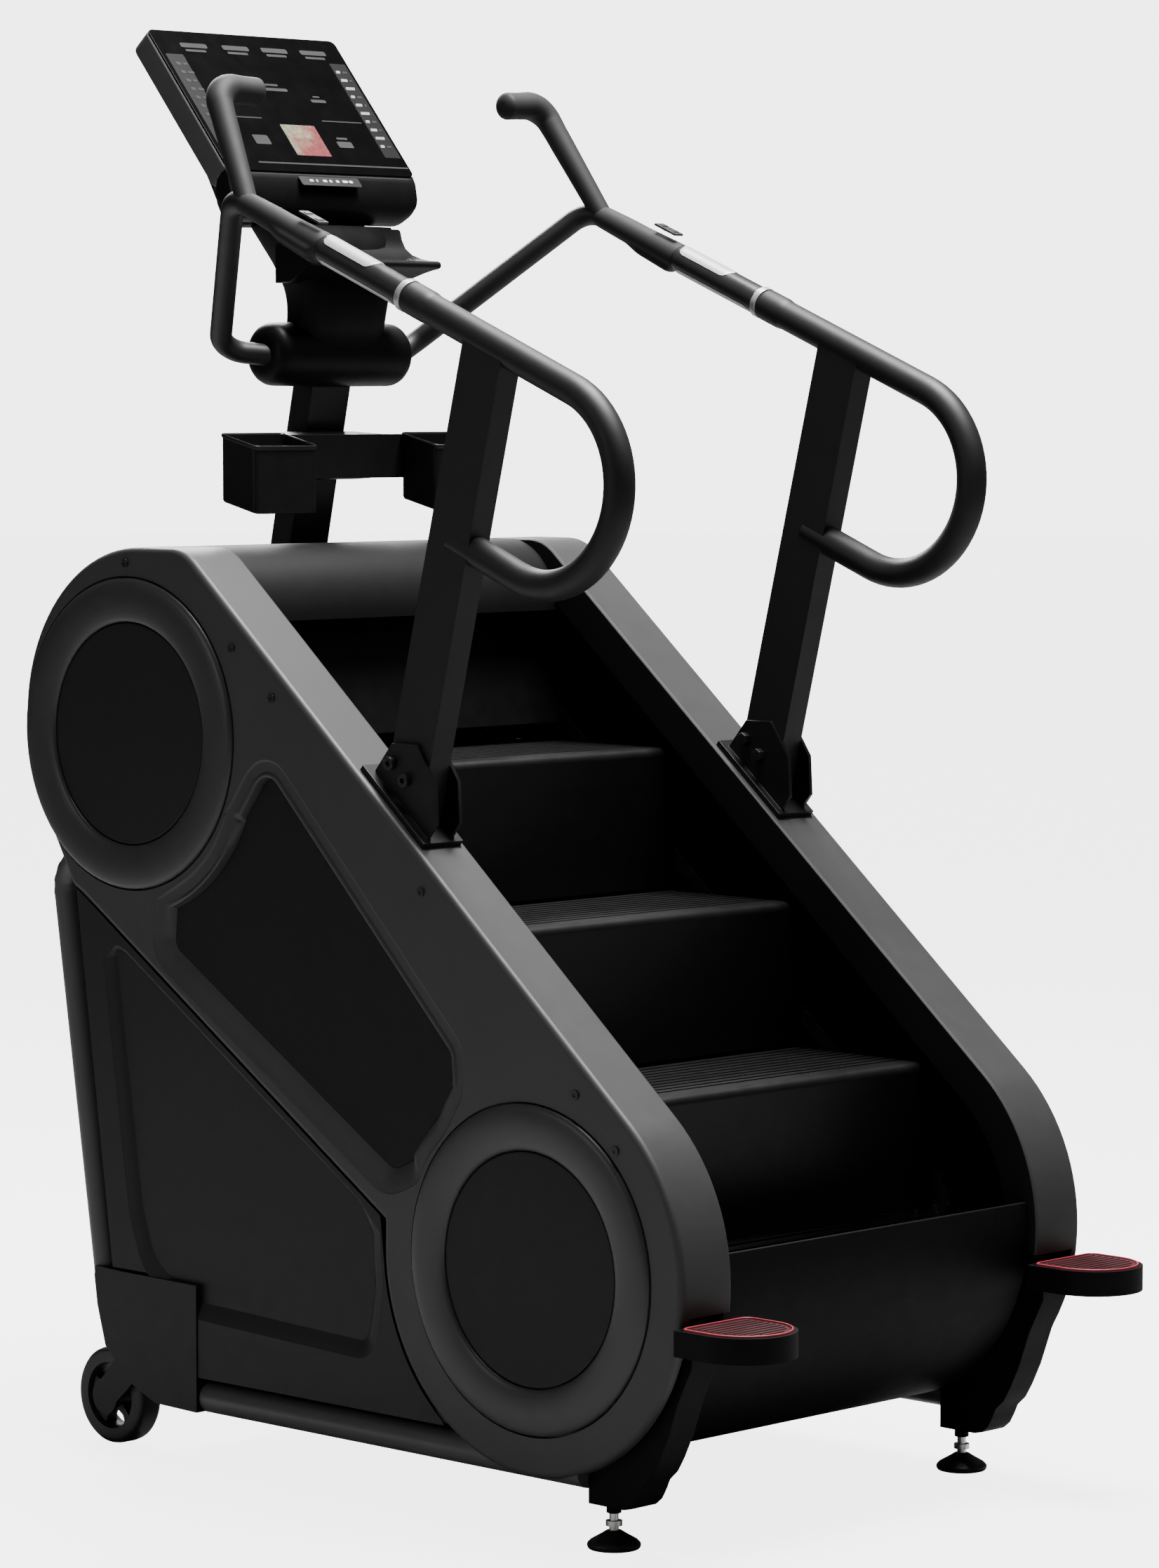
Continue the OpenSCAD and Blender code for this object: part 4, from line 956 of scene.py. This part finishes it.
def pedal_pad(hand):
    """Flat pad with nine ribs across it."""
    edge = ((60.2, 316.2), (60.2, 318.0), (59.2, 318.8), (58, 318.9))
    parts = [prism_rows([pedal_row(hand, *q) for q in edge])]
    for k in range(9):
        y = -692 + k * 11.0
        half = math.sqrt(52 ** 2 - min(0.0, y - PEDAL[1]) ** 2)
        rows = []
        for q, z in ((0, 318.2), (0, 319.6), (0.8, 320.3)):    # narrowing towards the top
            rows.append([(hand * (PEDAL[0] + sx * (half - q)), y + sy * (3.2 - q), z)
                         for sx, sy in ((-1, -1), (1, -1), (1, 1), (-1, 1))])
        parts.append(prism_rows(rows))
    return join(*parts)


for hand, side in SIDES:
    v, f = pedal_line(hand)
    piece("pedal_line_" + side, v, f, "red", hides=("pedal_trims",), sharp=60)
    v, f = pedal_pad(hand)
    piece("pedal_pad_" + side, v, f, "reddark", sharp=50)


# ---------- neck, hub and tray under the console ----------
def spline(a, b, c, d, t):
    """Smooth curve from b to c through four evenly spaced values."""
    bend = 2 * a - 5 * b + 4 * c - d
    return 0.5 * (2 * b + (c - a) * t + bend * t * t + (3 * b - a - 3 * c + d) * t ** 3)


def swell(value, power):
    return math.copysign(abs(value) ** (2 / power), value)


def loft(stations):
    """Smooth column of rounded-square section; stations are (z, y middle, half width, half depth)."""
    n, power = 40, 3.2
    rows = []
    for i in range(len(stations) - 1):
        p0, p1, p2, p3 = (stations[max(0, min(len(stations) - 1, i + k))] for k in (-1, 0, 1, 2))
        for s in range(5):
            t = s / 5.0
            rows.append([spline(a, b, c, d, t) for a, b, c, d in zip(p0, p1, p2, p3)])
    rows.append(list(stations[-1]))
    out = []
    for z, y, w, d in rows:
        ring = []
        for k in range(n):
            a = 2 * math.pi * k / n
            ring.append((w * swell(math.cos(a), power), y + d * swell(math.sin(a), power), z))
        out.append(ring)
    return prism_rows(out)


neck = loft([(1562, 497, 88, 42), (1590, 493, 82, 40), (1620, 486, 81, 40), (1655, 484, 86, 42),
             (1690, 491, 97, 46), (1722, 503, 110, 50), (1747, 516, 118, 52), (1752, 518, 118, 52)])
HUB_HALF = 132.0
HUB_ROUND = 20.0
left_end = [(-HUB_HALF, 0.02), (-HUB_HALF, 24)]
left_end += [(-HUB_HALF + HUB_ROUND * (1 - sind(a)), 26 + HUB_ROUND * cosd(a)) for a in range(90, -1, -15)]
left_end += [(-60, 46.5)]
hub_profile = left_end + [(0, 47)] + [(-x, r) for x, r in reversed(left_end)]
hub = prism_rows(turned(hub_profile, (500.0, 1566.0), 64, 1))
v, f = join(neck, hub)
piece("neck_body", v, f, "console", hides=("neck_hub",), sharp=50)

# section (y, z) of the shelf, from its front lip up the top side and back under
TRAY = [(404, 1690.5), (401, 1692.5), (400.2, 1696), (401.8, 1699.8), (406, 1701.8), (418, 1702.6),
        (432, 1705.6), (446, 1712), (457, 1722), (464, 1735), (468, 1749), (500, 1749), (500, 1668),
        (470, 1668), (446, 1676), (428, 1684), (414, 1688.6)]
TRAY_MIDDLE = (440.0, 1700.0)


def tray_half(y):
    """Half width of the shelf, wider at its front lip."""
    return 131 - 21 * ease((y - 402) / 62.0)


def tray_row(u):
    """Section at u from -1 to 1 across the shelf, drawn in a little at its ends."""
    cy, cz = TRAY_MIDDLE
    s = 1.0 - 0.055 * max(0.0, (abs(u) - 0.97) / 0.03) ** 2
    return [(u * tray_half(y), cy + (y - cy) * s, cz + (z - cz) * s) for y, z in TRAY]


across = [-1.0, -0.995, -0.98] + [-0.96 + 0.08 * k for k in range(25)] + [0.98, 0.995, 1.0]
v, f = prism_rows([tray_row(u) for u in across])
piece("console_shelf", v, f, "console", hides=("console_tray",), sharp=55)

# ---------- console housing: frame round the glass, tapered chin and back shell ----------
# (depth, growth of the outline, corner radius) from the front edge to the back edge
FRAME_ROWS = ((-0.2, -4, 12), (0.2, -2, 13), (1.4, -0.6, 14), (3.4, 0, 15), (33, 0, 15), (36.4, -0.8, 14),
              (38.6, -2.8, 13), (39.4, -6, 12))


def frame_row(y, grow, r):
    half, low, high = 187 + grow, -6 - grow, 272 + grow
    return [face_point(x, y, w) for x, w in round_rect(-half, half, low, high, r, 6)]


v, f = prism_rows([frame_row(*q) for q in FRAME_ROWS])
piece("console_frame", v, f, "housing", hides=("console_housing",), sharp=50)

# chin section (y, z) in the middle, and the thin one it tapers to at both ends
CHIN_HALF = 186.0
CHIN_TAPER = 34.0
CHIN = [(518, 1831), (512, 1819), (508.4, 1803), (507, 1790), (507.6, 1778), (511.4, 1769), (519, 1761),
        (530, 1755.4), (542, 1756), (552, 1763), (560, 1778), (566, 1800), (560, 1830), (540, 1842)]
CHIN_END = [(518.6, 1829), (513, 1818), (510, 1803), (509, 1796), (509.2, 1792), (510, 1790),
            (511.4, 1788.6), (513.4, 1787.8), (515.6, 1787.8), (518, 1789), (521, 1792), (525, 1798),
            (534, 1812), (530, 1824)]


def chin_row(x):
    u = min(1.0, (CHIN_HALF - abs(x)) / CHIN_TAPER)
    u = math.sqrt(1 - (1 - u) ** 2)
    return [(x, a[0] * (1 - u) + b[0] * u, a[1] * (1 - u) + b[1] * u) for a, b in zip(CHIN_END, CHIN)]


v, f = prism_rows([chin_row(CHIN_HALF * sind(4.5 * k)) for k in range(-20, 21)])
piece("console_chin", v, f, "console", sharp=60)


def hull_of(points):
    bm = bmesh.new()
    for p in points:
        bm.verts.new(p)
    bmesh.ops.convex_hull(bm, input=bm.verts[:])
    loose = [q for q in bm.verts if not q.link_faces]
    bmesh.ops.delete(bm, geom=loose, context="VERTS")
    bmesh.ops.dissolve_limit(bm, angle_limit=0.02, verts=bm.verts[:], edges=bm.edges[:])
    bm.verts.index_update()
    out = [tuple(q.co) for q in bm.verts], [tuple(q.index for q in face.verts) for face in bm.faces]
    bm.free()
    return out


shell = [face_point(sx * 130, y, w) for sx in (-1, 1) for y in (30, 58) for w in (34, 208)]
shell += [(sx * 112, y, z) for sx in (-1, 1) for y in (540, 600) for z in (1750, 1790)]
v, f = hull_of(shell)
soften(piece("console_back", v, f, "console"), 8.0, 4)

# generic badge under the glass: a dark plate with plain marks
v, f = tile(-52, 66, -25, -8, 0.6, -0.9, r=3.0)
piece("badge_plate", v, f, "badge")
v, f = join(*[tile(x0, x0 + width, -18.5, -14.0, -0.7, -1.5, r=1.0)
              for x0, width in zip(range(-34, 57, 13), (7, 3, 8, 5, 6, 10, 7))])
piece("badge_marks", v, f, "mark")

# ---------- levelling foot stems ----------
for hand, side in SIDES:
    v, f = lathe_z([(6.4, 24.4), (6.4, 30), (11, 30), (11, 37), (6.2, 37), (6.2, 46.4)], hand * 353, -413, 36)
    piece("foot_stem_" + side, v, f, "zinc", body=side + "_foot", sharp=30)

# ---------- camera ----------
cam_data = bpy.data.cameras.new("camera")
cam = bpy.data.objects.new("camera", cam_data)
bpy.context.scene.collection.objects.link(cam)
cam.location = (-5.229, -5.090, 1.4996)
forward = Vector((sind(45.81) * cosd(4.2),
                  cosd(45.81) * cosd(4.2),
                  -sind(4.2)))
cam.rotation_euler = forward.to_track_quat("-Z", "Y").to_euler()
cam_data.sensor_fit = "VERTICAL"
cam_data.sensor_height = 36.0
cam_data.lens = 36.0 * 7450.6 / 2235
cam_data.clip_end = 60
bpy.context.scene.camera = cam

# ---------- floor and light ----------
def mesh_object(name, verts, faces, mat):
    me = bpy.data.meshes.new(name)
    me.from_pydata(verts, [], faces)
    me.update()
    o = bpy.data.objects.new(name, me)
    bpy.context.scene.collection.objects.link(o)
    o.data.materials.append(mat)
    return o


floor_mat = moulded("floor_pale", (0.32, 0.32, 0.32), 0.7, 120, 0.03, 0.01, spec=0.1)
glow = floor_mat.node_tree.nodes["Principled BSDF"]
glow.inputs["Emission Color"].default_value = (1, 1, 1, 1)
# the lift to white is for the camera only and lights nothing
direct = floor_mat.node_tree.nodes.new("ShaderNodeLightPath")
lift = floor_mat.node_tree.nodes.new("ShaderNodeMath")
lift.operation = "MULTIPLY"
lift.inputs[1].default_value = 4.2
floor_mat.node_tree.links.new(direct.outputs["Is Camera Ray"], lift.inputs[0])
floor_mat.node_tree.links.new(lift.outputs[0], glow.inputs["Emission Strength"])
g = 40.0   # half the floor's width in metres
corners = [(-g, -g, -0.001), (g, -g, -0.001), (g, g, -0.001), (-g, g, -0.001)]
floor = mesh_object("floor", corners, [(0, 1, 2, 3)], floor_mat)


def area(name, loc, target, size, power):
    d = bpy.data.lights.new(name, "AREA")
    d.energy = power
    d.shape = "RECTANGLE"
    d.size = size
    d.size_y = size
    o = bpy.data.objects.new(name, d)
    bpy.context.scene.collection.objects.link(o)
    o.location = loc
    o.rotation_euler = (Vector(target) - Vector(loc)).to_track_quat("-Z", "Y").to_euler()


area("key_top", (0.5, -0.35, 5.2), (0, 0.1, 0.8), 2.0, 960)
area("back_top", (1.6, 3.0, 3.6), (0, 0.3, 1.2), 1.6, 300)
area("side_left", (-5.0, 1.6, 2.6), (0, 0, 0.9), 1.6, 26)
world = bpy.data.worlds.new("studio")
world.use_nodes = True
wn = world.node_tree
sky = wn.nodes["Background"]
pos = wn.nodes.new("ShaderNodeTexCoord")
updown = wn.nodes.new("ShaderNodeSeparateXYZ")
wn.links.new(pos.outputs["Generated"], updown.inputs["Vector"])
glow_of_sky = ramp(wn, updown.outputs["Z"], 0.1, 0.95, (0.02, 0.02, 0.02), (0.16, 0.16, 0.16))
wn.links.new(glow_of_sky, sky.inputs["Color"])
# plain white is for the camera only; the dim sky and the lamps light the object
plain = wn.nodes.new("ShaderNodeBackground")
plain.inputs["Color"].default_value = (1, 1, 1, 1)
plain.inputs["Strength"].default_value = 4.4
seen = wn.nodes.new("ShaderNodeLightPath")
either = wn.nodes.new("ShaderNodeMixShader")
wn.links.new(seen.outputs["Is Camera Ray"], either.inputs["Fac"])
wn.links.new(sky.outputs["Background"], either.inputs[1])
wn.links.new(plain.outputs["Background"], either.inputs[2])
wn.links.new(either.outputs["Shader"], wn.nodes["World Output"].inputs["Surface"])
bpy.context.scene.world = world
